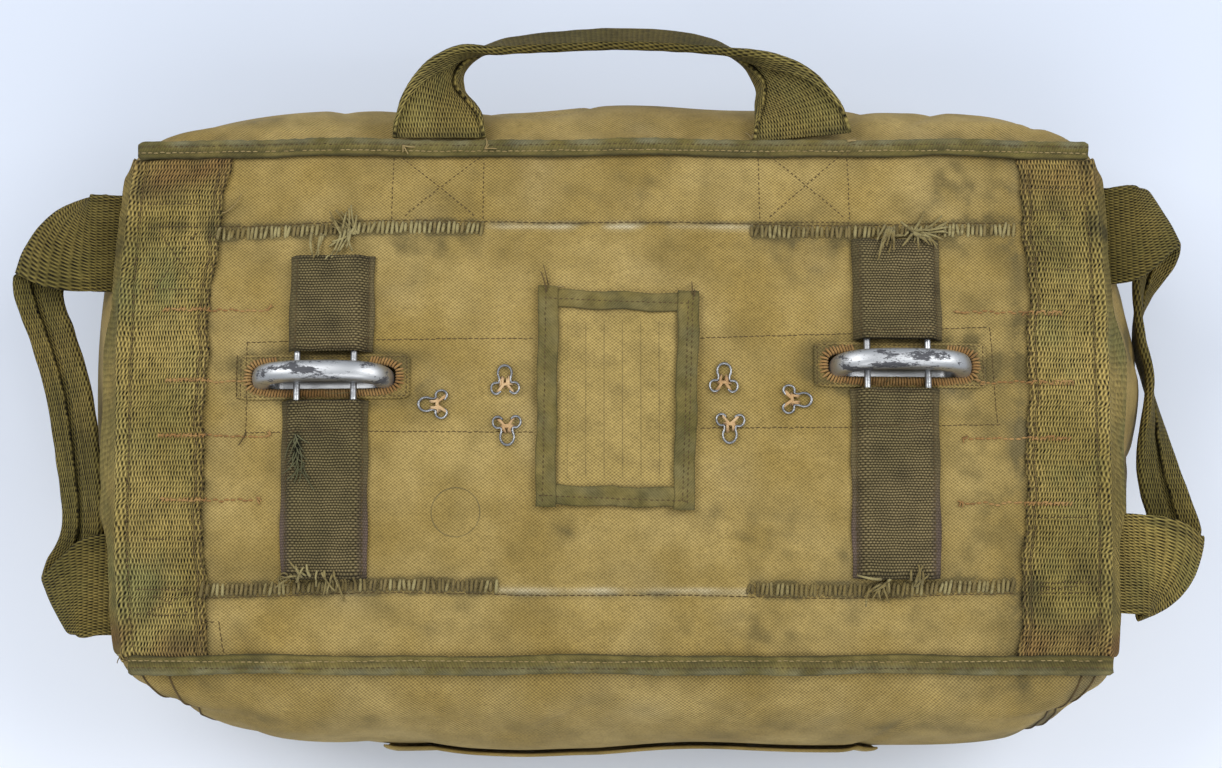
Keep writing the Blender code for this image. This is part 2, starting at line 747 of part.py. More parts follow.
# ---------------------------------------------------------------- handles

# A station is the middle of the webbing, the direction across it, its half width, how far its
# edges are folded over (1: they meet in the middle), and how far its middle bows out from there.
Station = namedtuple("Station", "x y z across_x across_y across_z half_width fold bow_x bow_y")
HANDLE_TOP = (
    Station(-0.0785, 0.1222, 0.1240, -1.00, 0.00, 0.00, 0.0205, 0.00, 0, 0),
    Station(-0.0785, 0.1310, 0.1240, -1.00, 0.00, 0.10, 0.0192, 0.10, 0, 0),
    Station(-0.0775, 0.1420, 0.1230, -0.88, 0.18, 0.44, 0.0165, 0.50, 0, 0),
    Station(-0.0755, 0.1520, 0.1215, -0.52, 0.32, 0.80, 0.0125, 0.90, 0, 0),
    Station(-0.0690, 0.1605, 0.1195, 0.02, 0.15, 0.95, 0.0113, 1.00, 0, 0),
    Station(-0.0560, 0.1655, 0.1175, 0.17, -0.31, 0.87, 0.0113, 1.00, 0, 0),
    Station(-0.0360, 0.1690, 0.1155, 0.09, -0.51, 0.85, 0.0113, 1.00, 0, 0),
    Station(0.0030, 0.1715, 0.1140, 0.00, -0.57, 0.82, 0.0113, 1.00, 0, 0),
    Station(0.0360, 0.1690, 0.1155, -0.10, -0.49, 0.82, 0.0113, 1.00, 0, 0),
    Station(0.0560, 0.1630, 0.1175, -0.15, -0.15, 0.80, 0.0113, 1.00, 0, 0),
    Station(0.0690, 0.1550, 0.1195, 0.21, 0.28, 0.77, 0.0120, 0.95, 0, 0),
    Station(0.0775, 0.1455, 0.1215, 0.70, 0.36, 0.46, 0.0155, 0.60, 0, 0),
    Station(0.0835, 0.1340, 0.1235, 0.98, 0.16, 0.15, 0.0190, 0.15, 0, 0),
    Station(0.0852, 0.1225, 0.1240, 1.00, 0.10, 0.00, 0.0218, 0.00, 0, 0),
)
HANDLE_LEFT = (
    Station(-0.2275, 0.0765, 0.1112, 0.00, 1.00, 0.00, 0.0220, 0.00, 0, 0),
    Station(-0.2370, 0.0765, 0.1125, 0.00, 1.00, 0.00, 0.0222, 0.00, -0.0010, 0.0010),
    Station(-0.2450, 0.0775, 0.1102, 0.42, 0.91, -0.12, 0.0240, 0.00, -0.0052, 0.0062),
    Station(-0.2505, 0.0800, 0.1055, 0.75, 0.66, -0.08, 0.0265, 0.00, -0.0075, 0.0096),
    Station(-0.2560, 0.0700, 0.1000, 0.94, 0.34, 0.00, 0.0180, 0.30, -0.0040, 0.0045),
    Station(-0.2625, 0.0640, 0.0985, 1.00, 0.10, 0.10, 0.0130, 0.80, -0.0010, 0.0010),
    Station(-0.2640, 0.0560, 0.0980, 0.98, 0.05, 0.20, 0.0115, 1.00, 0, 0),
    Station(-0.2610, 0.0460, 0.0982, 0.95, 0.05, 0.30, 0.0113, 1.00, 0, 0),
    Station(-0.2564, 0.0350, 0.0990, 0.94, 0.10, 0.35, 0.0113, 1.00, 0, 0),
    Station(-0.2473, 0.0079, 0.1010, 0.94, 0.10, 0.35, 0.0113, 1.00, 0, 0),
    Station(-0.2400, -0.0306, 0.1040, 0.90, 0.05, 0.43, 0.0113, 1.00, 0, 0),
    Station(-0.2385, -0.0500, 0.1030, 0.88, 0.00, 0.47, 0.0113, 1.00, 0, 0),
    Station(-0.2420, -0.0640, 0.0990, 0.90, -0.30, 0.30, 0.0113, 1.00, 0, 0),
    Station(-0.2465, -0.0745, 0.0985, 0.75, -0.65, 0.05, 0.0115, 0.80, 0, 0),
    Station(-0.2483, -0.0853, 0.1040, 0.47, -0.88, 0.00, 0.0135, 0.35, -0.0010, -0.0005),
    Station(-0.2425, -0.0830, 0.1105, 0.25, -0.97, 0.00, 0.0170, 0.10, 0, 0),
    Station(-0.2360, -0.0795, 0.1122, 0.05, -1.00, 0.00, 0.0210, 0.00, 0, 0),
    Station(-0.2263, -0.0775, 0.1112, 0.00, -1.00, 0.00, 0.0225, 0.00, 0, 0),
)
HANDLE_RIGHT = (
    Station(0.2266, -0.0682, 0.1112, 0.00, -1.00, 0.00, 0.0222, 0.00, 0, 0),
    Station(0.2365, -0.0690, 0.1125, 0.00, -1.00, 0.00, 0.0222, 0.00, 0.0010, -0.0010),
    Station(0.2440, -0.0705, 0.1102, -0.38, -0.92, -0.12, 0.0228, 0.00, 0.0045, -0.0036),
    Station(0.2480, -0.0735, 0.1055, -0.63, -0.77, -0.08, 0.0232, 0.00, 0.0075, -0.0060),
    Station(0.2510, -0.0620, 0.1005, -0.93, -0.35, 0.00, 0.0145, 0.50, 0.0030, -0.0025),
    Station(0.2535, -0.0530, 0.0985, -1.00, -0.10, 0.10, 0.0120, 0.95, 0, 0),
    Station(0.2525, -0.0450, 0.0980, -1.00, 0.00, 0.15, 0.0113, 1.00, 0, 0),
    Station(0.2500, -0.0350, 0.0970, -0.97, 0.00, 0.25, 0.0113, 1.00, 0, 0),
    Station(0.2485, -0.0240, 0.0940, -0.90, 0.00, 0.42, 0.0113, 1.00, 0, 0),
    Station(0.2490, -0.0100, 0.0870, -0.72, 0.00, 0.70, 0.0113, 1.00, 0, 0),
    Station(0.2505, 0.0060, 0.0790, -0.40, 0.00, 0.92, 0.0113, 1.00, 0, 0),
    Station(0.2500, 0.0210, 0.0760, -0.15, 0.00, 1.00, 0.0113, 1.00, 0, 0),
    Station(0.2465, 0.0370, 0.0770, -0.15, 0.00, 1.00, 0.0113, 1.00, 0, 0),
    Station(0.2455, 0.0520, 0.0820, -0.30, 0.10, 0.95, 0.0113, 1.00, 0, 0),
    Station(0.2470, 0.0650, 0.0900, -0.60, 0.35, 0.75, 0.0113, 1.00, 0, 0),
    Station(0.2505, 0.0770, 0.0965, -0.75, 0.60, 0.25, 0.0118, 0.85, 0, 0),
    Station(0.2515, 0.0885, 0.1040, -0.50, 0.86, 0.00, 0.0140, 0.35, 0.0010, 0.0005),
    Station(0.2445, 0.0855, 0.1105, -0.25, 0.95, 0.00, 0.0175, 0.10, 0, 0),
    Station(0.2375, 0.0820, 0.1122, -0.05, 1.00, 0.00, 0.0210, 0.00, 0, 0),
    Station(0.2264, 0.0800, 0.1112, 0.00, 1.00, 0.00, 0.0222, 0.00, 0, 0),
)

STRAP_SHARES = (-1.0, -0.93, -0.5, 0.0, 0.5, 0.93, 1.0)


def strap_middles(rows):
    """The webbing's middle surface: a row of points across it for each row of the path."""
    middles = []
    for row in rows:
        centre = Vector((row.x, row.y, row.z))
        across = Vector((row.across_x, row.across_y, row.across_z)).normalized() * row.half_width
        bow = Vector((row.bow_x, row.bow_y, 0))
        middles.append([centre + across * share + bow * (1 - share * share) for share in STRAP_SHARES])
    return middles


def make_handle(name, stations, per_row):
    """Webbing along a path, flat at its ends and folded to a thicker band in the grip."""
    rows = [Station(*row) for row in curve_through(stations, per_row)]
    middles = strap_middles(rows)
    last = len(rows) - 1
    inner = range(1, len(STRAP_SHARES) - 1)
    rings = []
    for index, row in enumerate(rows):
        fold = max(0.0, min(1.0, row.fold))
        half_thickness = between(HANDLE_THICKNESS, HANDLE_FOLDED_THICKNESS, fold) / 2
        points = middles[index]
        outside = []
        inside = []
        for spot in inner:
            ahead = middles[min(index + 1, last)][spot] - middles[max(index - 1, 0)][spot]
            side = ahead.cross(points[spot + 1] - points[spot - 1]).normalized()
            groove = HANDLE_GROOVE_DEPTH * fold if STRAP_SHARES[spot] == 0 else 0.0
            outside.append(points[spot] - side * half_thickness)
            inside.append(points[spot] + side * (half_thickness - groove))
        rings.append([points[0]] + outside + [points[-1]] + inside[::-1])
    return finish(piece_from(loft(rings), name), name, (0.15, 0.14, 0.06), 0.95)


make_handle("handle_top", HANDLE_TOP, 2)
make_handle("handle_left", HANDLE_LEFT, 2)
make_handle("handle_right", HANDLE_RIGHT, 2)


# ---------------------------------------------------------------- hem of the near side flap

HEM_COLUMNS = (7, 20)
HEM_LEVELS = (3.7, 4.0, 5.0)


def make_hem():
    columns = COLUMNS[HEM_COLUMNS[0]:HEM_COLUMNS[1] + 1]
    edge_y = PANEL_CENTRE_Y - PANEL_HALF_WIDTH
    rows = [[on_side(x, edge_y, level) for x in columns] for level in HEM_LEVELS]
    piece = grid_sheet(rows, "side_flap_hem", SEAT_GAP, HEM_THICKNESS, Vector((0, -1, 0)))
    finish(piece, "side_flap_hem", (0.36, 0.28, 0.13), 0.92)


make_hem()
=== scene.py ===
import math

import bmesh
import bpy
import numpy as np
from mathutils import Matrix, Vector
from mathutils.bvhtree import BVHTree


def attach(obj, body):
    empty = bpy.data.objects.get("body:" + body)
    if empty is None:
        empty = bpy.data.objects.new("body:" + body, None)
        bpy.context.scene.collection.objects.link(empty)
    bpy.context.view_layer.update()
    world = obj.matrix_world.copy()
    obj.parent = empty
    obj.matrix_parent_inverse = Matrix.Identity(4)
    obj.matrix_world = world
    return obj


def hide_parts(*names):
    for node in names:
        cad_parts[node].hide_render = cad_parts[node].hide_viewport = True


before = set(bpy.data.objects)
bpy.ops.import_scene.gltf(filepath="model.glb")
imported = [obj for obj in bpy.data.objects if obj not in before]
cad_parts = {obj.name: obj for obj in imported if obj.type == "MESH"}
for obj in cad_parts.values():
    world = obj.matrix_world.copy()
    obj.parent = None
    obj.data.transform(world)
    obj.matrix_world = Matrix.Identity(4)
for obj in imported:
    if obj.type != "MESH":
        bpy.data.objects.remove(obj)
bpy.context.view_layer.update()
bpy.ops.object.select_all(action="DESELECT")


# ---------------------------------------------------------------- studio
# A pale, faintly blue table top under two wide soft boxes and an even sky, and a camera that
# looks down on the pack from a little in front of it.

def from_screen(red, green, blue):
    """A colour as it is read off a screen, 0 to 255, as the light values that shaders use."""
    return tuple(((part / 255 + 0.055) / 1.055) ** 2.4 for part in (red, green, blue)) + (1.0,)


class Dye:
    """A value or colour in a finish's nodes, so that shader maths reads as plain sums."""

    def __init__(self, finish, socket):
        self.finish, self.socket = finish, socket

    def maths(self, operation, *values):
        return self.finish.node("ShaderNodeMath", {"operation": operation}, values)

    def __add__(self, other):
        return self.maths("ADD", self, other)

    __radd__ = __add__

    def __mul__(self, other):
        return self.maths("MULTIPLY", self, other)

    __rmul__ = __mul__

    def __sub__(self, other):
        return self.maths("SUBTRACT", self, other)

    def __rsub__(self, other):
        return self.maths("SUBTRACT", other, self)

    def __truediv__(self, other):
        return self.maths("DIVIDE", self, other)

    def __pow__(self, other):
        return self.maths("POWER", self, other)

    def sine(self):
        return self.maths("SINE", self)

    def size(self):
        return self.maths("ABSOLUTE", self)

    def part(self):
        return self.maths("FRACT", self)

    def whole(self):
        return self.maths("FLOOR", self)

    def most(self, other):
        return self.maths("MAXIMUM", self, other)

    def least(self, other):
        return self.maths("MINIMUM", self, other)

    def ramp(self, low, high):
        """0 at low, 1 at high, smooth between."""
        return self.finish.node("ShaderNodeMapRange", {"interpolation_type": "SMOOTHSTEP"},
                                {"Value": self, "From Min": low, "From Max": high})


class Finish:
    """A procedural material for one stuff that the pack is made of."""

    def __init__(self, name, roughness, metallic=0.0, sheen=0.0):
        self.material = bpy.data.materials.new(name)
        self.material.use_nodes = True
        self.tree = self.material.node_tree
        self.shader = self.tree.nodes["Principled BSDF"]
        self.shader.inputs["Roughness"].default_value = roughness
        self.shader.inputs["Metallic"].default_value = metallic
        self.shader.inputs["Specular IOR Level"].default_value = 0.12 if metallic == 0 else 0.5
        self.shader.inputs["Sheen Weight"].default_value = sheen
        self.shader.inputs["Sheen Roughness"].default_value = 0.6

    def feed(self, socket, value):
        """Link a value to a socket, or set a plain number or colour on it."""
        if isinstance(value, Dye):
            self.tree.links.new(value.socket, socket)
        else:
            socket.default_value = value

    def node(self, kind, settings, inputs=(), output=0):
        """Add a node with these settings and inputs, and give back one of its outputs."""
        made = self.tree.nodes.new(kind)
        for key, value in settings.items():
            setattr(made, key, value)
        for key, value in inputs.items() if isinstance(inputs, dict) else enumerate(inputs):
            self.feed(made.inputs[key], value)
        return Dye(self, made.outputs[output])

    def place(self):
        """Where a point is on the pack, in metres."""
        return self.node("ShaderNodeTexCoord", {}, output="Object")

    def cloth(self):
        """Where a point is on its piece of cloth as cut, in metres."""
        return self.node("ShaderNodeUVMap", {"uv_map": "cloth"})

    def split(self, vector):
        parts = self.node("ShaderNodeSeparateXYZ", {}, [vector])
        return [Dye(self, output) for output in parts.socket.node.outputs]

    def stretched(self, vector, *scale):
        return self.node("ShaderNodeVectorMath", {"operation": "MULTIPLY"}, [vector, scale])

    def noise(self, vector, scale, detail, roughness=0.55):
        return self.node("ShaderNodeTexNoise", {}, {"Vector": vector, "Scale": scale, "Detail": detail,
                                                    "Roughness": roughness})

    def painted(self, name):
        return self.node("ShaderNodeAttribute", {"attribute_name": name}, output="Fac")

    def blend(self, share, *colours):
        """One colour gone over to another by share. A plain colour is as it is read off a screen."""
        first, second = (colour if isinstance(colour, Dye) else from_screen(*colour) for colour in colours)
        return self.node("ShaderNodeMix", {"data_type": "RGBA"}, {0: share, 6: first, 7: second}, 2)

    def darkened(self, colour, cloud, share, soil_and_shade):
        """A colour darkened by the painted soil and shade, more where the cloud is dense."""
        return self.blend((self.painted("soil_and_shade") * (0.5 + cloud)).least(1.0) * share, colour, soil_and_shade)

    def shade(self, colour, value):
        """A colour made darker or paler by a number around 1."""
        return self.node("ShaderNodeVectorMath", {"operation": "SCALE"}, {0: colour, "Scale": value})

    def wear(self, colour, height=None, depth=0.0004, strength=0.5, roughness=None):
        """Put a colour, a relief in metres and a roughness on the shader."""
        self.feed(self.shader.inputs["Base Color"], colour)
        if height is not None:
            relief = {"Strength": strength, "Distance": depth, "Height": height}
            self.feed(self.shader.inputs["Normal"], self.node("ShaderNodeBump", {}, relief))
        if roughness is not None:
            self.feed(self.shader.inputs["Roughness"], roughness)
        return self.material


bpy.ops.mesh.primitive_plane_add(size=9.0, location=(0, 0, 0))
table_top = bpy.context.object
table_top.name = "table_top"
paper = Finish("table_paper", roughness=0.75)
# The paper is painted darker towards the far side: painted shade behind the pack and under its top handle.
_, away, _ = paper.split(paper.place())
paper_with_painted_shade = paper.blend(away.ramp(-0.20, 0.22), (238, 243, 253), (213, 220, 233))
table_top.data.materials.append(paper.wear(paper_with_painted_shade))

sky = bpy.data.worlds.new("studio_sky")
sky.use_nodes = True
sky.node_tree.nodes["Background"].inputs["Color"].default_value = (0.86, 0.92, 1.0, 1.0)
sky.node_tree.nodes["Background"].inputs["Strength"].default_value = 0.50
bpy.context.scene.world = sky
bpy.context.scene.view_settings.view_transform = "Standard"

for box_name, place, size, power in (("soft_box_left", (-1.05, 0.60, 1.45), 1.0, 14.5),
                                     ("soft_box_right", (1.05, 0.35, 1.35), 1.0, 13.0),
                                     ("soft_box_front", (0.1, -1.3, 1.5), 1.2, 10.0)):
    bpy.ops.object.light_add(type="AREA", location=place)
    soft_box = bpy.context.object
    soft_box.name = box_name
    soft_box.data.size = size
    soft_box.data.energy = power
    soft_box.rotation_euler = (Vector((0, 0, 0.08)) - Vector(place)).to_track_quat("-Z", "Y").to_euler()

bpy.ops.object.camera_add(location=(-0.001, -0.1026, 0.9827), rotation=(math.radians(7.5), 0, 0))
camera = bpy.context.object
camera.data.lens = 57.56
bpy.context.scene.camera = camera


# ---------------------------------------------------------------- canvas container
# The filled container: a back panel of waxed khaki canvas, sewn along all four edges to canvas
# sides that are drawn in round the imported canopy, and flat underneath where it lies.

PANEL_HALF_LENGTH = 0.2165
PANEL_HALF_WIDTH = 0.1160
PANEL_MIDDLE_Y = 0.0020
PANEL_NEAR_Y = PANEL_MIDDLE_Y - PANEL_HALF_WIDTH
SEAM_LOW_Y, SEAM_HIGH_Y = SEAMS = (-0.0795, 0.0785)
SEAM_ROW = 0.0032  # how far outside a seam its row of machine stitches draws the cloth down
SLOT_HALF_LENGTH, SLOT_HALF_WIDTH = 0.0342, 0.0078
SLOTS = {"left": (-0.1268, 0.0121), "right": (0.1257, 0.0173)}
OVERCAST_RUNS = ((-0.1760, -0.0575, SEAM_HIGH_Y), (0.0613, 0.1800, SEAM_HIGH_Y),
                 (-0.1790, -0.0500, SEAM_LOW_Y), (0.0585, 0.1750, SEAM_LOW_Y))
CORNER_DRAWS = {(-1, 1): 0.0040, (-1, -1): 0.0055, (1, 1): 0.0038, (1, -1): 0.0026}
# Sections of the sides: share of the rim's height, half length, half width, middle, squareness.
SIDE_SECTIONS = np.array((
    (1.000, 0.2165, 0.1160, 0.0020, 90.0),
    (0.955, 0.2192, 0.1235, -0.0003, 30.0),
    (0.880, 0.2255, 0.1345, -0.0007, 10.0),
    (0.760, 0.2322, 0.1430, -0.0012, 6.4),
    (0.580, 0.2368, 0.1480, -0.0017, 5.2),
    (0.400, 0.2360, 0.1475, -0.0017, 5.1),
    (0.240, 0.2305, 0.1420, -0.0012, 5.0),
    (0.110, 0.2200, 0.1320, -0.0006, 4.7),
    (0.030, 0.2070, 0.1200, -0.0002, 4.5),
    (0.000, 0.1980, 0.1120, 0.0000, 4.5)))
# Where packed cloth presses the sides out: middle, reach and height of each swelling.
BULGES = (
    (-0.2380, 0.0300, 0.070, 0.055, 0.0050),
    (0.2380, 0.0125, 0.072, 0.034, 0.0078),
    (0.2380, 0.0520, 0.075, 0.036, 0.0028),
    (0.1700, 0.1450, 0.070, 0.050, 0.0030),
    (0.0300, 0.1480, 0.060, 0.070, 0.0020),
    (-0.1300, 0.1480, 0.065, 0.050, 0.0022),
    (0.1850, -0.1440, 0.058, 0.052, 0.0062),
    (-0.1000, -0.1480, 0.055, 0.080, 0.0015))
# Soft creases across the panel: one point, the direction it runs in, its reach and its depth.
CREASES = (
    (-0.150, -0.092, 0.80, -0.60, 0.030, 0.0024),
    (-0.165, -0.100, 0.50, -0.86, 0.022, 0.0017),
    (0.150, 0.094, 0.75, -0.66, 0.018, 0.0020),
    (0.160, 0.102, 0.15, -0.99, 0.016, 0.0014),
    (0.010, 0.098, 0.10, 0.99, 0.018, 0.0009),
    (0.060, -0.095, 0.98, 0.15, 0.040, 0.0006),
    (0.095, -0.055, 0.90, 0.40, 0.030, 0.0005),
    (-0.020, -0.060, 0.95, -0.30, 0.035, 0.0005))


def unevenness(points, size, seed):
    """Smooth unevenness of about -1 to 1 whose swells are about that size apart."""
    dice = np.random.default_rng(seed)
    total = np.zeros(points.shape[:-1])
    for _ in range(9):
        direction = dice.normal(size=3)
        direction *= 2 * math.pi * dice.uniform(0.6, 1.4) / (size * np.linalg.norm(direction))
        total += np.sin(points @ direction + dice.uniform(0, 2 * math.pi))
    return total / 3


def points_from(*parts):
    """Points made of their coordinates, each a number or an array. Two make a flat place."""
    return np.stack(np.broadcast_arrays(*parts), axis=-1)


def unit(vectors):
    """Vectors brought to a length of one."""
    return vectors / np.maximum(np.linalg.norm(vectors, axis=-1, keepdims=True), 1e-12)


def run_along(points):
    """How far along a line each of its points is."""
    return np.concatenate(([0], np.linalg.norm(np.diff(points, axis=0), axis=1).cumsum()))


def step(value, low, high):
    """0 below low, 1 above high, and a smooth rise between."""
    share = np.clip((value - low) / (high - low), 0, 1)
    return share * share * (3 - 2 * share)


def bell(away, reach, power=2):
    """1 at no distance away, less and less around the reach, and 0 well past it."""
    return np.exp(-(away / reach) ** power)


def crown(x, y):
    """Height of the panel over the table, without its seams."""
    across = 1 - np.minimum(1, np.abs(x / PANEL_HALF_LENGTH)) ** 2.6
    along = 1 - np.minimum(1, np.abs((y - PANEL_MIDDLE_Y) / PANEL_HALF_WIDTH)) ** 2.6
    return 0.1210 + 0.0040 * (across + along - across * along) + 0.0130 * across * along


def overcast_share(x, seam_y):
    """1 where a seam is overcast, 0 where it is plain."""
    share = 0.0
    for start, end, y in OVERCAST_RUNS:
        if y == seam_y:
            share = share + step(x, start - 0.001, start + 0.001) * (1 - step(x, end - 0.001, end + 0.001))
    return share


def seam_line(x, seam_y):
    """The y of a seam at x: it wanders by a millimetre."""
    return seam_y + 0.0008 * np.sin(x * 21 + seam_y * 40) + 0.0005 * np.sin(x * 47)


def canvas_height(x, y):
    """Height of the panel's canvas, with the seams sewn down, creases and puckers."""
    x, y = np.asarray(x, float), np.asarray(y, float)
    inside = 1 - np.minimum(1, np.abs(x / PANEL_HALF_LENGTH)) ** 8
    height = crown(x, y) + 0.00045 * inside * unevenness(points_from(x, y, 0.0), 0.070, 3)
    for seam_y in SEAMS:
        away = y - seam_line(x, seam_y)
        hollow = 0.0013 * bell(away, 0.0075)
        channel = 0.0011 * overcast_share(x, seam_y) * bell(away, 0.0026, 4)
        row = 0.0008 * bell(away - math.copysign(SEAM_ROW, seam_y), 0.0011)
        pucker = 0.00016 * np.sin(x * 700 + 1.5 * np.sin(x * 90)) * np.exp(-np.abs(away) / 0.006)
        height = height + inside * (pucker - hollow - channel - row)
    for crease_x, crease_y, run_x, run_y, reach, depth in CREASES:
        across = (x - crease_x) * run_y - (y - crease_y) * run_x
        along = (x - crease_x) * run_x + (y - crease_y) * run_y
        valley = bell(across, 0.005)
        ridge = 0.7 * bell(across - 0.009, 0.007)
        height = height + depth * (ridge - valley) * bell(along, reach)
    return height


def draw_in(x, y):
    """How far a point moves along X because the panel's corners are drawn in."""
    u = x / PANEL_HALF_LENGTH
    v = (y - PANEL_MIDDLE_Y) / PANEL_HALF_WIDTH
    depth = np.zeros(np.broadcast(x, y).shape)
    for (side_x, side_y), corner_depth in CORNER_DRAWS.items():
        depth = depth + corner_depth * (np.sign(u) == side_x) * (np.sign(v) == side_y)
    return -np.sign(u) * depth * np.abs(u) ** 6 * np.abs(v) ** 4


def panel_point(x, y, lift=0.0):
    """A point on the panel, or lift above it."""
    x, y = np.broadcast_arrays(np.asarray(x, float), np.asarray(y, float))
    return points_from(x + draw_in(x, y), y, canvas_height(x, y) + lift)


def smooth_rows(rows, share):
    """Rows of a table on a smooth curve through them, at shares of the way from row to row."""
    rows = np.asarray(rows, float)
    share = np.atleast_1d(np.asarray(share, float))
    low = np.clip(np.floor(share).astype(int), 0, len(rows) - 2)
    t = (share - low)[:, None]
    before, first = rows[np.maximum(low - 1, 0)], rows[low]
    second, after = rows[low + 1], rows[np.minimum(low + 2, len(rows) - 1)]
    return 0.5 * (2 * first + (second - before) * t
                  + (2 * before - 5 * first + 4 * second - after) * t ** 2
                  + (3 * first - before - 3 * second + after) * t ** 3)


def side_point(x, y, level):
    """The sides' canvas under the rim's point x, y: level 0 is the rim, 9 the underside's edge."""
    height, half_length, half_width, middle, squareness = smooth_rows(SIDE_SECTIONS, level).T
    u = np.asarray(x / PANEL_HALF_LENGTH, float)
    v = np.asarray((y - PANEL_MIDDLE_Y) / PANEL_HALF_WIDTH, float)
    size = (np.abs(u) ** squareness + np.abs(v) ** squareness) ** (1 / squareness)
    tuck = np.where(v < 0, np.where(u < 0, 0.048, 0.016), 0.010) * (np.abs(u * v) ** 6)
    size = size * (1 + tuck * np.clip((1 - height) * 6, 0, 1))
    rim = panel_point(x, y)
    hold = np.clip((height - 0.60) / 0.40, 0, 1)
    point = np.stack((half_length * u / size + (rim[..., 0] - x) * hold,
                      half_width * v / size + middle, height * rim[..., 2]), axis=-1)
    outward = unit(point * (1, 1, 0) / points_from(half_length ** 2, half_width ** 2, 1.0))
    swell = np.zeros(point.shape[:-1])
    for bulge_x, bulge_y, bulge_z, reach, bulge in BULGES:
        distance = np.linalg.norm(point - (bulge_x, bulge_y, bulge_z), axis=-1)
        swell += bulge * bell(distance, reach)
    slack = np.clip((1 - height) * 7, 0, 1) * np.clip(height * 8, 0, 1)
    swell = swell * np.clip(height * 8, 0, 1)
    swell += slack * 0.0010 * unevenness(point, 0.085, 11)
    upright = point * (1, 1, 0.35)
    swell -= slack * 0.0016 * np.maximum(0, 1 - 3.2 * np.abs(unevenness(upright, 0.075, 17))) ** 1.5
    return point + outward * swell[..., None]


def grid_faces(rows, columns, start=0):
    """Faces of a grid of points, counter-clockwise when rows run up and columns to the right."""
    index = start + np.arange(rows * columns).reshape(rows, columns)
    return np.stack((index[:-1, :-1], index[:-1, 1:], index[1:, 1:], index[1:, :-1]), axis=-1).reshape(-1, 4)


def outline_of(index):
    """The indices round a grid's outline."""
    return np.concatenate((index[0, :-1], index[:-1, -1], index[-1, :0:-1], index[:0:-1, 0]))


def make_piece(name, points, faces, flat=None):
    """A smooth-shaded piece. flat is where each face corner lies on the cut cloth, in metres."""
    mesh = bpy.data.meshes.new(name)
    mesh.from_pydata(np.asarray(points).reshape(-1, 3).tolist(), [], faces)
    if flat is not None:
        layer = mesh.uv_layers.new(name="cloth")
        layer.data.foreach_set("uv", np.asarray(flat, np.float32).ravel())
    mesh.shade_smooth()
    piece = bpy.data.objects.new(name, mesh)
    bpy.context.scene.collection.objects.link(piece)
    return piece


def paint(piece, name, values):
    """Keep a number from 0 to 1 for each point of a piece, for its finish to read."""
    layer = piece.data.attributes.new(name, "FLOAT", "POINT")
    values = np.broadcast_to(np.clip(values, 0, 1), len(layer.data))
    layer.data.foreach_set("value", values.astype(np.float32))


def points_of(piece):
    """A piece's points, one row each."""
    points = np.empty(len(piece.data.vertices) * 3)
    piece.data.vertices.foreach_get("co", points)
    return points.reshape(-1, 3)


def fit(piece, node, finish, **cloth):
    """Put a finish on a piece and hide the CAD piece that it stands for. How its cloth lies is passed in but
    not used.
    """
    piece.data.materials.append(finish)
    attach(piece, "root")
    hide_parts(node)
    return piece


def rounded_slot(dx, dy, half_length, half_width, squareness=6):
    """1 on the outline of a slot with rounded ends, less inside it."""
    along, across = np.abs(dx) / half_length, np.abs(dy) / half_width
    return (along ** squareness + across ** squareness) ** (1 / squareness)


def squared_round(turns, power):
    """Cosine and sine of the turns, for a round outline that is squarer the lower the power."""
    return (np.sign(part) * np.abs(part) ** power for part in (np.cos(turns), np.sin(turns)))


def make_container():
    """The panel, the sides and the underside in one closed skin."""
    xs = np.linspace(-PANEL_HALF_LENGTH, PANEL_HALF_LENGTH, 271)
    ys = np.linspace(PANEL_MIDDLE_Y - PANEL_HALF_WIDTH, PANEL_MIDDLE_Y + PANEL_HALF_WIDTH, 147)
    grid_x, grid_y = np.meshgrid(xs, ys)
    panel = panel_point(grid_x, grid_y)
    rim = outline_of(np.arange(grid_x.size).reshape(grid_x.shape))
    rim_x, rim_y = grid_x.ravel()[rim], grid_y.ravel()[rim]
    levels = np.concatenate((np.linspace(0, 1, 5)[1:], np.linspace(1, 9, 49)[1:]))
    rows = [side_point(rim_x, rim_y, np.full(len(rim), level)) for level in levels]
    rows += [rows[-1] * (share, share, 1) for share in (0.93, 0.80, 0.55, 0.25)]
    points = np.concatenate([panel.reshape(-1, 3)] + rows)
    faces = grid_faces(*grid_x.shape).tolist()
    flat_panel = points_from(grid_x.ravel(), grid_y.ravel())
    flat = [flat_panel[np.array(faces)].reshape(-1, 2)]
    count = len(rim)
    loops = [rim] + [grid_x.size + count * row + np.arange(count) for row in range(len(rows))]
    strides = np.hypot(np.diff(np.append(rim_x, rim_x[0])), np.diff(np.append(rim_y, rim_y[0])))
    far = np.cumsum(strides)
    near = far - strides
    depth = 0.0
    for upper, lower in zip(loops, loops[1:]):
        faces += np.stack((upper, lower, np.roll(lower, -1), np.roll(upper, -1)), axis=-1).tolist()
        deeper = depth + np.linalg.norm(points[lower] - points[upper], axis=1).mean()
        corners = np.broadcast_arrays(near, -depth, near, -deeper, far, -deeper, far, -depth)
        flat.append(np.stack(corners, axis=-1).reshape(-1, 2))
        depth = deeper
    faces.append(loops[-1][::-1].tolist())
    flat.append(points[loops[-1][::-1], :2])
    return make_piece("canvas_container", points, faces, np.concatenate(flat))


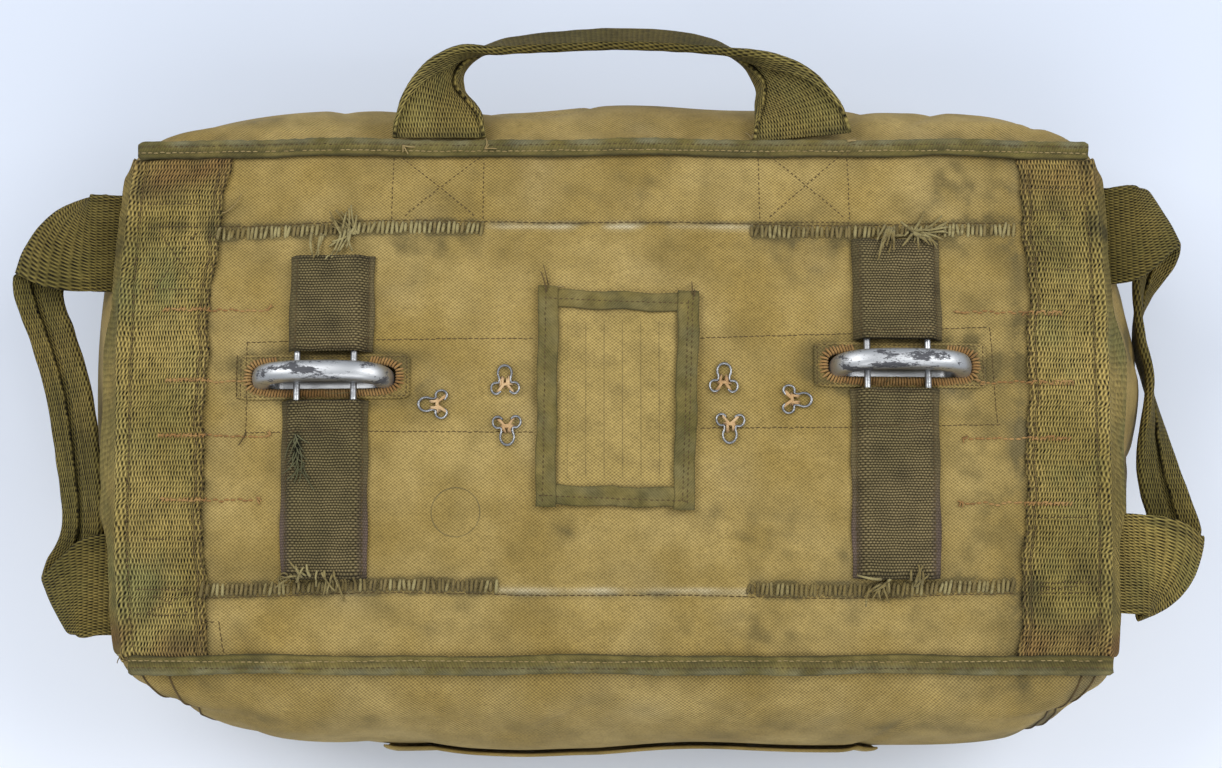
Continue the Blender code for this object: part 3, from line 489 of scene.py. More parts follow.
def open_slots(container):
    """Cut the two ring slots in the panel and hem each down into a well, which is painted dark as shade."""
    bm = bmesh.new()
    bm.from_mesh(container.data)
    for slot_x, slot_y in SLOTS.values():
        middle = Vector((slot_x, slot_y))
        inside = [face for face in bm.faces if face.normal.z > 0.5 and rounded_slot(
            *(face.calc_center_median().xy - middle), SLOT_HALF_LENGTH + 0.0003, SLOT_HALF_WIDTH) < 1]
        bmesh.ops.delete(bm, geom=inside, context="FACES")
        rim = [edge for edge in bm.edges
               if edge.is_boundary and (edge.verts[0].co.xy - middle).length < 0.05]
        for vert in {vert for edge in rim for vert in edge.verts}:
            away = vert.co.xy - middle
            vert.co.xy = middle + away / rounded_slot(*away, SLOT_HALF_LENGTH, SLOT_HALF_WIDTH)
        for drop, grow in ((0.0012, 0.0), (0.006, 0.0006), (0.013, 0.0002)):
            grown = bmesh.ops.extrude_edge_only(bm, edges=rim)["geom"]
            for part in grown:
                if isinstance(part, bmesh.types.BMVert):
                    part.co.z -= drop
                    part.co.y += math.copysign(grow, part.co.y - slot_y)
            rim = [part for part in grown if isinstance(part, bmesh.types.BMEdge) and part.is_boundary]
        bmesh.ops.edgeloop_fill(bm, edges=rim)
    bm.normal_update()
    bm.to_mesh(container.data)
    bm.free()
    container.data.shade_smooth()


# Dark grease and ground-in dirt on the panel: middle, reaches along X and Y, and strength.
SMUDGES = (
    (-0.066, 0.096, 0.020, 0.012, 0.45), (0.008, 0.099, 0.030, 0.010, 0.50),
    (0.045, 0.104, 0.018, 0.010, 0.40), (0.150, 0.096, 0.014, 0.014, 0.75),
    (0.078, 0.060, 0.026, 0.010, 0.45), (-0.075, 0.071, 0.035, 0.007, 0.50),
    (0.095, 0.072, 0.030, 0.006, 0.50), (-0.020, -0.056, 0.020, 0.008, 0.45),
    (0.062, -0.056, 0.030, 0.010, 0.55), (0.030, -0.048, 0.014, 0.006, 0.50),
    (0.168, -0.018, 0.012, 0.018, 0.45), (-0.080, -0.092, 0.018, 0.010, 0.50),
    (0.062, -0.100, 0.034, 0.012, 0.55), (0.130, -0.095, 0.020, 0.010, 0.35),
    (-0.142, -0.052, 0.004, 0.004, 0.70), (0.118, -0.028, 0.030, 0.008, 0.35),
    (0.098, -0.066, 0.020, 0.006, 0.45), (-0.035, 0.020, 0.012, 0.022, 0.25))


def on_panel(z):
    """1 at the height of the panel, 0 down the sides."""
    return step(z, 0.112, 0.120)


def soil_and_shade_on(points):
    """How dirty the canvas is at each point, 0 to 1, with painted shade in the seam grooves, round the
    rings, in the slot wells and by the bindings.
    """
    x, y, z = points.T
    on_top = on_panel(z)
    soil_and_shade = 0.12 + 0.07 * unevenness(points, 0.045, 23) + 0.06 * unevenness(points, 0.016, 29)
    for smudge_x, smudge_y, reach_x, reach_y, strength in SMUDGES:
        blot = np.exp(-((x - smudge_x) / reach_x) ** 2 - ((y - smudge_y) / reach_y) ** 2)
        soil_and_shade += 0.62 * strength * on_top * blot * (0.55 + 0.5 * unevenness(points, 0.009, 31))
    # Darker along each seam: grime with painted shade in the overcast channel, and painted shade in the
    # groove that the stitch row draws down.
    for seam_y in SEAMS:
        away = y - seam_line(x, seam_y)
        grime_and_shade = 1.05 * bell(away, 0.0034, 4) + 0.25 * bell(away, 0.010)
        soil_and_shade += on_top * overcast_share(x, seam_y) * grime_and_shade
        soil_and_shade += on_top * 0.80 * bell(away - math.copysign(SEAM_ROW, seam_y), 0.0010)
    # Round each ring: grime with painted shade from the ring. Down in each slot's well: painted shade.
    for slot_x, slot_y in SLOTS.values():
        around = rounded_slot(x - slot_x, y - slot_y, 0.040, 0.0125, 4)
        soil_and_shade += 0.60 * on_top * (1 - step(around, 0.85, 1.35))
        well = rounded_slot(x - slot_x, y - slot_y, 0.0352, 0.0095, 6) < 1
        soil_and_shade += 2.0 * well * (z < crown(x, y) - 0.004)
    soil_and_shade += on_top * 0.35 * bell(np.abs(x) - 0.1790, 0.0040)
    soil_and_shade += on_top * 0.24 * step(x, 0.130, 0.155)
    # Darker beside the bindings: painted shade along their edges.
    edge = np.abs(y - PANEL_MIDDLE_Y) - PANEL_HALF_WIDTH
    soil_and_shade += 0.14 * on_top * bell(edge, 0.0070)
    side = (1 - on_top) * step(z, 0.0, 0.02)
    soil_and_shade += side * 0.16 * np.maximum(0, unevenness(points, 0.030, 37)) ** 1.5
    for start, end, strength in CORNER_SEAMS:
        away = np.linalg.norm(points[:, None] - corner_seam(start, end)[None, ::2], axis=-1).min(axis=1)
        soil_and_shade += side * strength * bell(away, 0.0034)
    near_corner = np.exp(-((x - 0.185) / 0.030) ** 2 - ((z - 0.045) / 0.022) ** 2) * (y < -0.1)
    soil_and_shade += side * 0.75 * near_corner * (0.6 + 0.4 * unevenness(points, 0.012, 39))
    soil_and_shade += side * 0.45 * step(x, 0.225, 0.236) * np.maximum(0, unevenness(points, 0.022, 41))
    return soil_and_shade


# The sides are pieced at the near corners. For each seam: where it starts along the rim, where it
# runs to low on the side, and how dirty it is.
CORNER_SEAMS = ((0.985, 0.890, 0.75), (0.950, 0.850, 0.60),
                (-0.975, -0.885, 0.30), (-0.910, -0.820, 0.20))


def corner_seam(start, end):
    """Points down a corner's seam, from the rim to low on the side."""
    rim_x = np.linspace(start, end, 44) * PANEL_HALF_LENGTH
    return side_point(rim_x, np.full(44, PANEL_NEAR_Y), np.linspace(0.35, 4.6, 44))


def chalk_on(points):
    """How chalky and rubbed pale the canvas is at each point, 0 to 1."""
    x, y, z = points.T
    chalk = 0.02 * np.maximum(0, unevenness(points, 0.040, 43)) ** 2
    for seam_y in SEAMS:
        inward = (seam_line(x, seam_y) - y) * math.copysign(1, seam_y) + SEAM_ROW
        plain = (1 - overcast_share(x, seam_y)) * (np.abs(x) < 0.075)
        worn = np.maximum(0, 0.55 + 0.45 * unevenness(points_from(x, y * 0.3, 0.0), 0.020, 47))
        chalk += 0.50 * on_panel(z) * plain * worn * bell(inward - 0.0017, 0.0013)
    return chalk


def duck_weave(across, along):
    """Cotton duck's thick warp and finer weft: 1 on top of a thread, 0 between them."""
    warp = (across * (2 * math.pi / 0.00175)).sine()
    weft = (along * (2 * math.pi / 0.00142)).sine()
    return 0.5 + 0.5 * (warp * weft)


def khaki_canvas(name, stamp=None):
    """Waxed cotton duck, faded and smudged. stamp is the middle and radius of a ring of faded ink."""
    canvas = Finish(name, roughness=0.9, sheen=0.04)
    across, along, _ = canvas.split(canvas.cloth())
    place = canvas.place()
    weave = duck_weave(across, along)
    large = canvas.noise(place, 24, 4).ramp(0.30, 0.72)
    middle = canvas.noise(place, 75, 4, 0.65)
    mottle = canvas.noise(place, 300, 3, 0.6)
    fine = canvas.noise(place, 950, 2)
    streaks = canvas.noise(canvas.stretched(canvas.cloth(), 60, 900, 1), 1, 2)
    base = canvas.blend(large, (140, 118, 64), (163, 141, 87))
    base = canvas.blend((middle - 0.46).most(0.0) * 1.6, base, (122, 103, 54))
    # The painted soil darkens the canvas both for dirt and as painted shade, in the slot wells, seam grooves
    # and beside the bindings.
    soil_and_shade = (canvas.painted("soil_and_shade") * (0.25 + middle.ramp(0.36, 0.64) * 1.1 + mottle * 0.3)).least(1.0)
    base = canvas.blend(soil_and_shade * 0.80, base, (78, 70, 44))
    base = canvas.blend(canvas.painted("chalk") * (0.6 + middle * 0.8), base, (196, 186, 156))
    if stamp:
        stamp_x, stamp_y, radius = stamp
        x, y, _ = canvas.split(place)
        from_x, from_y = x - stamp_x, y - stamp_y
        off_ring = ((from_x * from_x + from_y * from_y) ** 0.5 - radius).size()
        base = canvas.blend(off_ring.ramp(0.00045, 0.00015) * middle, base, (74, 70, 52))
    uneven = fine * 0.60 + streaks * 0.15 + mottle * 0.60 + middle * 0.24
    shade = weave * 0.90 + uneven - 0.17
    height = weave * 0.7 + fine * 0.5 + middle * 0.4 + mottle * 0.3
    return canvas.wear(canvas.shade(base, shade), height, 0.0004, 0.70)


container = make_container()
open_slots(container)
container_points = points_of(container)
paint(container, "soil_and_shade", soil_and_shade_on(container_points))
paint(container, "chalk", chalk_on(container_points))
fit(container, "body", khaki_canvas("khaki_canvas", stamp=(-0.0684, -0.0472, 0.0106)))


# ---------------------------------------------------------------- edge webbing
# A strip of 1 3/4 inch cotton webbing is sewn along each short edge of the panel, and its outer
# part is turned over the rim and down the side.

def cloth_normals(points, up):
    """Unit normals of a grid of points, on the side that up points to."""
    normals = unit(np.cross(np.gradient(points, axis=1), np.gradient(points, axis=0)))
    return normals if (normals * np.asarray(up)).sum() > 0 else -normals


def thicken(name, points, normals, low, high, flat):
    """A closed sheet between low and high over a grid of points. flat holds their cut places."""
    if (np.cross(np.gradient(points, axis=1), np.gradient(points, axis=0)) * normals).sum() < 0:
        points, normals, flat = points[:, ::-1], normals[:, ::-1], flat[:, ::-1]
    rows, columns = points.shape[:2]
    count = rows * columns
    face = grid_faces(rows, columns)
    rim = outline_of(np.arange(count).reshape(rows, columns))
    after = np.roll(rim, -1)
    walls = np.stack((rim, rim + count, after + count, after), axis=-1)
    faces = np.concatenate((face, face[:, ::-1] + count, walls))
    both = np.concatenate((points + normals * high, points + normals * low))
    places = np.tile(flat.reshape(-1, 2), (2, 1))
    return make_piece(name, both, faces.tolist(), places[faces].reshape(-1, 2))


def on_both_faces(values, rows, columns):
    """Numbers of a grid, one for each point of both faces of the sheet made from it."""
    return np.tile(np.broadcast_to(values, (rows, columns)).ravel(), 2)


def make_sheet(name, under, thickness, flat, up=(0, 0, 1)):
    """A closed sheet of cloth that lies on rows of points, its cut edges thinned."""
    gap = 0.0004
    edge = np.zeros(under.shape[:2] + (1,))
    edge[[0, -1], :] = edge[:, [0, -1]] = 1
    return thicken(name, under, cloth_normals(under, up), gap + thickness * 0.12 * edge,
                   gap + thickness * (1 - 0.30 * edge), flat)


def eased(rows, passes):
    """Points along each row eased towards their neighbours, ends held: it rounds off a fold."""
    for _ in range(passes):
        between = (rows[:, :-2] + 2 * rows[:, 1:-1] + rows[:, 2:]) / 4
        rows = np.concatenate((rows[:, :1], between, rows[:, -1:]), axis=1)
    return rows


def olive_webbing(name, column, green, dark):
    """Heavy cotton webbing: rows of long slanting floats, each row half a column on from the last."""
    row, slant = 0.00238, 0.30
    webbing = Finish(name, roughness=0.92, sheen=0.02)
    across, along, _ = webbing.split(webbing.cloth())
    place = webbing.place()
    wobble = webbing.noise(place, 160, 2) - 0.5
    along = along + wobble * 0.0014
    across = across + wobble * 0.0005
    course = along / row
    lane = across / column - course * slant
    floats = (lane * (2 * math.pi)).sine() * (course * math.pi).sine()
    weave = (0.52 + floats * 0.80 + (course * (2 * math.pi)).sine() * 0.12).least(1.0).most(0.0)
    strand = webbing.noise(webbing.stretched(webbing.cloth(), 800, 130, 1), 1, 2)
    mottle = webbing.noise(place, 350, 3, 0.6)
    large = webbing.noise(place, 22, 4).ramp(0.32, 0.70)
    middle = webbing.noise(place, 95, 4, 0.65)
    fine = webbing.noise(place, 1100, 2)
    base = webbing.blend(large, (136, 119, 64), (168, 146, 84))
    tint = webbing.noise(webbing.stretched(place, 1, 0.7, 1), 34, 3).ramp(0.40, 0.62)
    base = webbing.blend(tint * webbing.painted("green") * green, base, (108, 116, 72))
    base = webbing.blend(webbing.painted("rust"), base, (128, 98, 58))
    # The painted soil brings dirt, and painted shade along the stitch rows, selvages and handle ends.
    base = webbing.darkened(base, middle, 0.8, (64, 60, 38))
    if dark:
        base = webbing.blend(webbing.painted("grip") * dark, base, (72, 63, 24))
    uneven = (fine - 0.5) * 0.5 + (mottle - 0.5) * 0.7 + (middle - 0.5) * 0.6 + (strand - 0.5) * 0.8
    shade = 0.18 + weave * 1.30 + uneven
    return webbing.wear(webbing.shade(base, shade), weave + fine * 0.3, 0.0007, 0.9)


INNER_ROW = 0.0036  # a row of stitches this far from the webbing's inner edge
RIM_ROW = 0.0035  # and one this far inside the panel's rim
# Where the webbing's inner edge runs: y, x on the left, x on the right.
WEBBING_INNER = np.array(((-0.1090, -0.1768, 0.1768), (-0.0300, -0.1795, 0.1806),
                          (0.0500, -0.1782, 0.1838), (0.1120, -0.1722, 0.1822)))


def inner_edge(y, side):
    """The x of the webbing's inner edge at y: it wanders by about a millimetre."""
    wander = 0.0006 * np.sin(y * 130 + side) + 0.0004 * np.sin(y * 310) + 0.0002 * np.sin(y * 900)
    return np.interp(y, WEBBING_INNER[:, 0], WEBBING_INNER[:, 1 if side < 0 else 2]) + wander


def make_edge_webbing(name, side):
    """Webbing from its inner edge to the rim, and turned down the side, least at the corners."""
    ys = np.linspace(-0.1090, 0.1120, 200)
    on_top = np.linspace(0, 1, 30)
    turned = 1.32 - 0.95 * step(np.abs(ys - 0.0015), 0.0960, 0.1100)
    turned += 0.90 * (1 - step(np.abs(ys + 0.0040), 0.0250, 0.0520))
    drop = np.linspace(0, 1, 20)[1:]
    inner = inner_edge(ys, side)
    rim_x = side * PANEL_HALF_LENGTH
    x = inner[:, None] + (rim_x - inner[:, None]) * on_top
    over = panel_point(x, np.broadcast_to(ys[:, None], x.shape))
    down = np.stack([side_point(np.full(len(ys), rim_x), ys, level * turned) for level in drop], axis=1)
    down[..., 0] += side * 0.0012 * drop
    rows = eased(np.concatenate((over, down), axis=1), 3)
    reach = np.linalg.norm(np.diff(rows, axis=1, prepend=rows[:, :1]), axis=-1).cumsum(axis=1)
    from_rim = reach - reach[:, len(on_top) - 1:len(on_top)]
    rows[..., 2] += 0.00040 * unevenness(rows, 0.022, 53 + side)
    rows[..., 2] -= 0.0007 * bell(from_rim + RIM_ROW, 0.0011)
    rows[..., 2] -= 0.0005 * bell(reach - INNER_ROW, 0.0008)
    piece = make_sheet("sewn_" + name, rows, 0.0020, points_from(side * reach, ys[:, None]), (side, 0, 1))
    points = points_of(piece)
    x, y, _ = points.T
    ends = step(np.abs(y), 0.088, 0.106)
    from_inner = np.abs(x - inner_edge(y, side))
    paint(piece, "rust", ends * (0.55 + 0.3 * unevenness(points, 0.020, 59))
          + 0.20 * (1 - step(from_inner, 0.0035, 0.0070)))
    green = bell(y - 0.004, 0.045) if side > 0 else bell(np.abs(y + 0.010) - 0.065, 0.022)
    paint(piece, "green", 0.30 + 0.70 * green)
    # Darker along the inner stitch row and the rim row: painted shade in the grooves they draw down, with
    # grime. Darker also at the inner edge and in patches.
    soil_and_shade = 0.12 + 0.40 * bell(from_inner - INNER_ROW, 0.0007)
    soil_and_shade += 0.45 * (1 - step(from_inner, 0.0003, 0.0012))
    soil_and_shade += 0.42 * np.maximum(0, unevenness(points, 0.025, 61)) * step(np.abs(y), 0.02, 0.09)
    soil_and_shade += 0.5 * bell(np.abs(x) - PANEL_HALF_LENGTH + RIM_ROW, 0.0007)
    soil_and_shade += 0.5 * bell(np.abs(y) - 0.0790, 0.006) * np.maximum(0, unevenness(points, 0.012, 67))
    paint(piece, "soil_and_shade", soil_and_shade)
    return fit(piece, name, edge_webbing_finish, flat=(0.0445, 0.2210), held="folded",
               rests_on=["canvas_container"])


edge_webbing_finish = olive_webbing("edge_webbing_cotton", column=0.00136, green=0.60, dark=0.0)
left_webbing = make_edge_webbing("edge_webbing_left", -1)
right_webbing = make_edge_webbing("edge_webbing_right", 1)


# ---------------------------------------------------------------- seam bindings
# Olive twill tape, folded over the raw edges where the panel meets the long sides. It stands up
# as a flat ridge with two rows of stitches, and ripples between them.

def olive_twill(name, faded):
    """Fine twill tape, dark olive, rubbed paler and browner along its folds."""
    twill = Finish(name, roughness=0.88, sheen=0.03)
    across, along, _ = twill.split(twill.cloth())
    place = twill.place()
    cord = 0.5 + 0.5 * ((across + along * 0.9) * (2 * math.pi / 0.00120)).sine()
    large = twill.noise(place, 30, 4).ramp(0.35, 0.68)
    middle = twill.noise(place, 120, 4, 0.65)
    fine = twill.noise(place, 1200, 2)
    base = twill.blend(large * faded, (101, 92, 50), (136, 119, 68))
    base = twill.blend(twill.painted("rub"), base, (118, 113, 84))
    # The painted soil brings dirt, and on the seam bindings painted shade too.
    base = twill.darkened(base, middle, 0.75, (58, 54, 36))
    shade = 0.60 + cord * 0.26 + fine * 0.46 + (middle - 0.5) * 1.3
    return twill.wear(twill.shade(base, shade), cord * 0.6 + fine * 0.5 + middle * 0.5, 0.0003, 0.6)


def make_binding(name, side, start, end, wave):
    """A binding from start to end along one long edge, a flattened tube of 28 points round."""
    xs = np.linspace(start, end, 290)
    held = np.clip(xs, -PANEL_HALF_LENGTH, PANEL_HALF_LENGTH)
    edge_y = PANEL_MIDDLE_Y + side * PANEL_HALF_WIDTH
    seat = panel_point(held, np.full(len(xs), edge_y))
    seat[:, 0] += xs - held
    seat[:, 1] -= side * (0.0012 - wave * np.sin(xs * 46 + side) - 0.6 * wave * np.sin(xs * 91))
    seat[:, 2] += 0.0022 + 0.0003 * np.sin(xs * 63 + 2 * side) + 0.0002 * np.sin(xs * 170)
    out, up = squared_round(np.linspace(0, 2 * math.pi, 29)[:-1], 0.6)
    up = up * (0.78 + 0.22 * out)
    falls = canvas_height(held, edge_y - side * 0.0050) - canvas_height(held, edge_y - side * 0.0010)
    tilt = np.arctan2(falls, 0.0040) + 0.05 + 0.06 * np.sin(xs * 33 + 3 * side)
    groove = 0.12 * bell(np.abs(out) - 0.42, 0.10) * (up > 0)
    width, thick = 0.0043 * out, 0.0018 * (up - groove)
    ring_y = width * np.cos(tilt)[:, None] + thick * np.sin(tilt)[:, None]
    ring_z = thick * np.cos(tilt)[:, None] - width * np.sin(tilt)[:, None]
    pinch = 1 - 0.25 * (1 - step(np.minimum(xs - start, end - xs), 0.0, 0.0019))
    rings = seat[:, None] + points_from(0.0, side * ring_y, ring_z) * pinch[:, None, None]
    rings = rings + 0.00015 * unevenness(rings, 0.006, 71)[..., None]
    index = (np.arange(len(xs)) * 28)[:, None] + np.arange(29) % 28
    flat = points_from(np.linspace(0, 0.0190, 29), xs[:, None])
    faces, corners = (np.stack((grid[:-1, :-1], grid[1:, :-1], grid[1:, 1:], grid[:-1, 1:]), axis=2)
                      for grid in (index, flat))
    faces = faces.reshape(-1, 4).tolist() + [index[0, :-1].tolist(), index[-1, -2::-1].tolist()]
    corners = np.concatenate((corners.reshape(-1, 2), flat[0, :-1], flat[-1, -2::-1]))
    piece = make_piece("sewn_" + name, rings, faces, corners)
    bm = bmesh.new()
    bm.from_mesh(piece.data)
    bmesh.ops.recalc_face_normals(bm, faces=bm.faces)
    bm.to_mesh(piece.data)
    bm.free()
    points = points_of(piece)
    across = side * (points[:, 1] - np.interp(points[:, 0], xs, seat[:, 1]))
    paint(piece, "rub", 0.80 * step(across, 0.0002, 0.0012) * (0.6 + 0.4 * unevenness(points, 0.015, 73)))
    # Darker along both edges, at the inner fold and on the two stitch rows: painted shade under the edges
    # and fold and in the rows' grooves, with grime. The inner half is a little darker too.
    inner_half = step(-across, 0.0022, 0.0034)
    rows = bell(np.abs(across) - 0.0016, 0.0005)
    edges = step(np.abs(across), 0.0036, 0.0043)
    fold = step(-across, 0.0032, 0.0038)
    paint(piece, "soil_and_shade", 0.04 + 0.2 * inner_half + 0.3 * edges + 0.7 * fold + 0.75 * rows
          + 0.3 * unevenness(points, 0.020, 79))
    return fit(piece, name, binding_finish, flat=(0.0110, 0.4360), held="folded",
               rests_on=["canvas_container"])


binding_finish = olive_twill("binding_twill", faded=0.4)
top_binding = make_binding("binding_top", 1, -0.2179, 0.2179, 0.0005)
bottom_binding = make_binding("binding_bottom", -1, -0.2165, 0.2203, 0.0004)


# ---------------------------------------------------------------- harness rings and their wires
# Two forged steel D rings, plated and worn dark on top, stand in the slots with their lower half
# inside the pack. Two plated wires run through each and on under the channel tapes.

def rounded_off(node, name, levels, finish):
    """A piece with a CAD piece's own shape, its facets merged and rounded off."""
    bpy.ops.object.select_all(action="DESELECT")
    piece = bpy.data.objects.new(name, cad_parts[node].data.copy())
    bpy.context.scene.collection.objects.link(piece)
    piece.select_set(True)
    bpy.context.view_layer.objects.active = piece
    bpy.ops.object.mode_set(mode="EDIT")
    bpy.ops.mesh.select_all(action="SELECT")
    bpy.ops.mesh.remove_doubles(threshold=0.00001)
    bpy.ops.mesh.tris_convert_to_quads(face_threshold=0.9, shape_threshold=0.9)
    bpy.ops.object.mode_set(mode="OBJECT")
    for layer in list(piece.data.attributes):
        if layer.name in ("sharp_edge", "custom_normal"):
            piece.data.attributes.remove(layer)
    rounding = piece.modifiers.new("rounding", "SUBSURF")
    rounding.levels = rounding.render_levels = levels
    bpy.ops.object.modifier_apply(modifier=rounding.name)
    piece.data.shade_smooth()
    piece.data.materials.clear()
    return fit(piece, node, finish)


def worn_steel(name, wear, roughness, bright):
    """Bright plated steel, scratched, with the plating gone dark where it is rubbed."""
    steel = Finish(name, roughness=roughness, metallic=1.0)
    place = steel.place()
    _, _, height = steel.split(place)
    long_ways = steel.stretched(place, 1.0, 2.2, 2.2)
    cloud = steel.noise(steel.stretched(place, 0.55, 1.9, 1.9), 90, 6, 0.72)
    flecks = steel.noise(long_ways, 700, 3, 0.7)
    scratches = steel.noise(steel.stretched(place, 90, 900, 900), 1, 3)
    top = height.ramp(0.1395, 0.1455) if wear > 0.5 else 1.0
    gone = ((cloud * 0.80 + flecks * 0.20).ramp(0.50, 0.55) * wear * top).least(1.0)
    pits = flecks.ramp(0.62, 0.70)
    colour = steel.blend(scratches * 0.5, (206, 207, 208), (172, 174, 177))
    colour = steel.blend(gone, colour, (96, 96, 100))
    colour = steel.blend(pits * 0.5, colour, (70, 66, 62))
    rough = gone * 0.30 + scratches * 0.22 + (roughness - 0.08)
    return steel.wear(steel.shade(colour, bright), flecks * 0.6 + gone * -0.8, 0.00012, 0.35, rough)


ring_steel = worn_steel("ring_steel", 0.95, 0.42, bright=1.0)
wire_steel = worn_steel("wire_steel", 0.35, 0.36, bright=1.0)
for ring_side in SLOTS:
    rounded_off("d_ring_" + ring_side, "harness_ring_" + ring_side, 3, ring_steel)
    for wire in (ring_side + "_outer", ring_side + "_inner"):
        rounded_off("ring_wire_" + wire, "ring_wire_piece_" + wire, 1, wire_steel)


# ---------------------------------------------------------------- slot facings
# A strip of canvas faces each ring slot. Its stitched edges show, and the slot is cut through it
# and through the panel under it.

# The facing's outline and the lines inside it down to its slot: half length, half width, squareness.
FACING_LINES = ((0.0380, 0.0099, 14), (0.0372, 0.0092, 12), (0.0362, 0.0085, 9),
                (0.0350, 0.0076, 8), (0.0340, 0.0069, 8), (0.0333, 0.0064, 8))


def make_slot_facing(name, slot_x, slot_y):
    """A facing, ring by ring from its outline to the slot and a little way down into it."""
    turns = np.linspace(0, 2 * math.pi, 161)[:-1]
    rings = []
    for half_length, half_width, squareness in FACING_LINES:
        out, up = squared_round(turns, 2 / squareness)
        rings.append(panel_point(slot_x + half_length * out, slot_y + half_width * up))
    under = np.stack(rings + [rings[-1] - (0, 0, 0.0030)])
    under = np.concatenate((under, under[:, :1]), axis=1)
    piece = make_sheet("sewn_" + name, under, 0.0009, under[..., :2])
    points = points_of(piece)
    around = rounded_slot(points[:, 0] - slot_x, points[:, 1] - slot_y, *FACING_LINES[-1])
    # Dark near the slot and down into it: grime with painted shade from the ring and the well.
    paint(piece, "soil_and_shade", 0.95 - 0.45 * step(around, 1.20, 1.45) + 0.2 * unevenness(points, 0.006, 83))
    paint(piece, "chalk", 0)
    return fit(piece, name, facing_finish, flat=(0.0200, 0.0762), held="laid",
               rests_on=["canvas_container"])


facing_finish = khaki_canvas("slot_facing_canvas")
slot_facings = [make_slot_facing("slot_patch_" + slot_side, *place) for slot_side, place in SLOTS.items()]


# ---------------------------------------------------------------- channel tapes
# Dark ribbed tape, sewn down along both edges over each pair of wires, so that the wires stand
# out as two soft ridges. The ends fray.

# Each tape: the ring it runs from, its left and right edges, and its lower and upper ends.
TAPES = {"upper_left": ("left", -0.1411, -0.1050, 0.0228, 0.0656),
         "lower_left": ("left", -0.1445, -0.1067, -0.0753, 0.0014),
         "upper_right": ("right", 0.1059, 0.1441, 0.0280, 0.0737),
         "lower_right": ("right", 0.1035, 0.1413, -0.0753, 0.0066)}
WIRES = {"left": (-0.1381, -0.1131), "right": (0.1107, 0.1374)}


def ribbed_tape(name):
    """Narrow-ribbed cotton tape gone grey-brown, with purplish edges."""
    tape = Finish(name, roughness=0.92, sheen=0.02)
    across, along, _ = tape.split(tape.cloth())
    place = tape.place()
    along = along + (tape.noise(place, 140, 2) - 0.5) * 0.0006
    lane = along / 0.00117
    shift = (lane.whole() * 0.5).part()
    rib = (lane * math.pi).sine().size()
    bead = (((across / 0.00136 + shift) * math.pi).sine().size() * 0.75 + 0.25) * rib
    middle = tape.noise(place, 90, 4, 0.65)
    large = tape.noise(place, 26, 3).ramp(0.35, 0.68)
    fine = tape.noise(place, 1100, 2)
    base = tape.blend(large, (95, 86, 52), (109, 97, 63))
    base = tape.blend(tape.painted("rub"), base, (104, 88, 80))
    base = tape.blend(tape.painted("torn"), base, (34, 34, 22))
    base = tape.darkened(base, middle, 0.8, (56, 50, 36))
    border = tape.painted("border")
    ribbed = (0.02 + bead ** 1.3 * 1.85) * (1 - border * 0.6)
    shade = ribbed + border * 0.42 + fine * 0.70 - 0.22 + (middle - 0.5) * 0.4
    return tape.wear(tape.shade(base, shade), bead * (1 - border * 0.6) + fine * 0.3, 0.0005, 0.8)


def wire_lift(y, slot_y):
    """How far a wire's middle is off the panel: low under the tapes, higher over the slot."""
    return 0.0021 + 0.0018 * (1 - step(np.abs(y - slot_y), 0.0100, 0.0240))


def make_tape(name, ring_side, left, right, low, high):
    """A tape over the two wires of one ring, sagging a little between them."""
    slot_y = SLOTS[ring_side][1]
    ys = np.linspace(low, high, max(30, int((high - low) / 0.0009)))
    share = np.linspace(0, 1, 44)
    x = left + (right - left) * share + 0.0003 * np.sin(ys * 200)[:, None] * (2 * share - 1)
    y = np.broadcast_to(ys[:, None], x.shape)
    first_wire, second_wire = WIRES[ring_side]
    crest = wire_lift(y, slot_y) + 0.0020
    ridges = [bell(np.abs(x - wire_x), 0.0034, 2.6) for wire_x in (first_wire, second_wire)]
    inside = np.minimum(x - first_wire, second_wire - x)
    sag = 0.0005 * np.clip(inside / 0.008, 0, 1)
    lift = np.maximum(crest * np.maximum(*ridges), (crest - sag) * step(inside, -0.0006, 0.0006))
    wire_end = np.minimum(step(y, -0.0775, -0.0725), 1 - step(y, 0.0640, 0.0740))
    lift = lift * (0.35 + 0.65 * wire_end)
    under = panel_point(x, y, lift) + (0, 0, 0.0002) * unevenness(panel_point(x, y), 0.010, 89)[..., None]
    piece = make_sheet("sewn_" + name, under, 0.0013, points_from(x - left, y))
    points = points_of(piece)
    x, y, _ = points.T
    margin = np.minimum(x - left, right - x)
    ends = np.minimum(y - low, high - y)
    paint(piece, "rub", 0.8 * (1 - step(margin, 0.0, 0.0050)) * step(-y, 0.02, 0.06) + 0.15)
    paint(piece, "border", 1 - step(margin, 0.0024, 0.0034))
    tear = np.exp(-((x + 0.1372) / 0.0026) ** 2 - ((y + 0.0195) / 0.0075) ** 2)
    paint(piece, "torn", 1.3 * tear * (low < -0.05) * (left < 0))
    paint(piece, "soil_and_shade", 0.10 + 0.4 * bell(margin - 0.0026, 0.0006)
          + 0.5 * (1 - step(ends, 0, 0.004)) + 0.2 * unevenness(points, 0.014, 97))
    return fit(piece, name, tape_finish, flat=(right - left + 0.003, high - low), held="stretched",
               rests_on=["canvas_container"])


tape_finish = ribbed_tape("channel_tape_cotton")
tapes = [make_tape("channel_tape_" + tape_name, *size) for tape_name, size in TAPES.items()]


# ---------------------------------------------------------------- record pocket
# A flat canvas pocket for the pack's paper record, bound in olive twill. Its window, where the
# record is written up, is left with plain ruled lines.

# The outline's corners, from the near left one round to the far left one.
POCKET_CORNERS = np.array(((-0.0336, -0.0440), (0.0350, -0.0456), (0.0378, 0.0478), (-0.0326, 0.0505)))


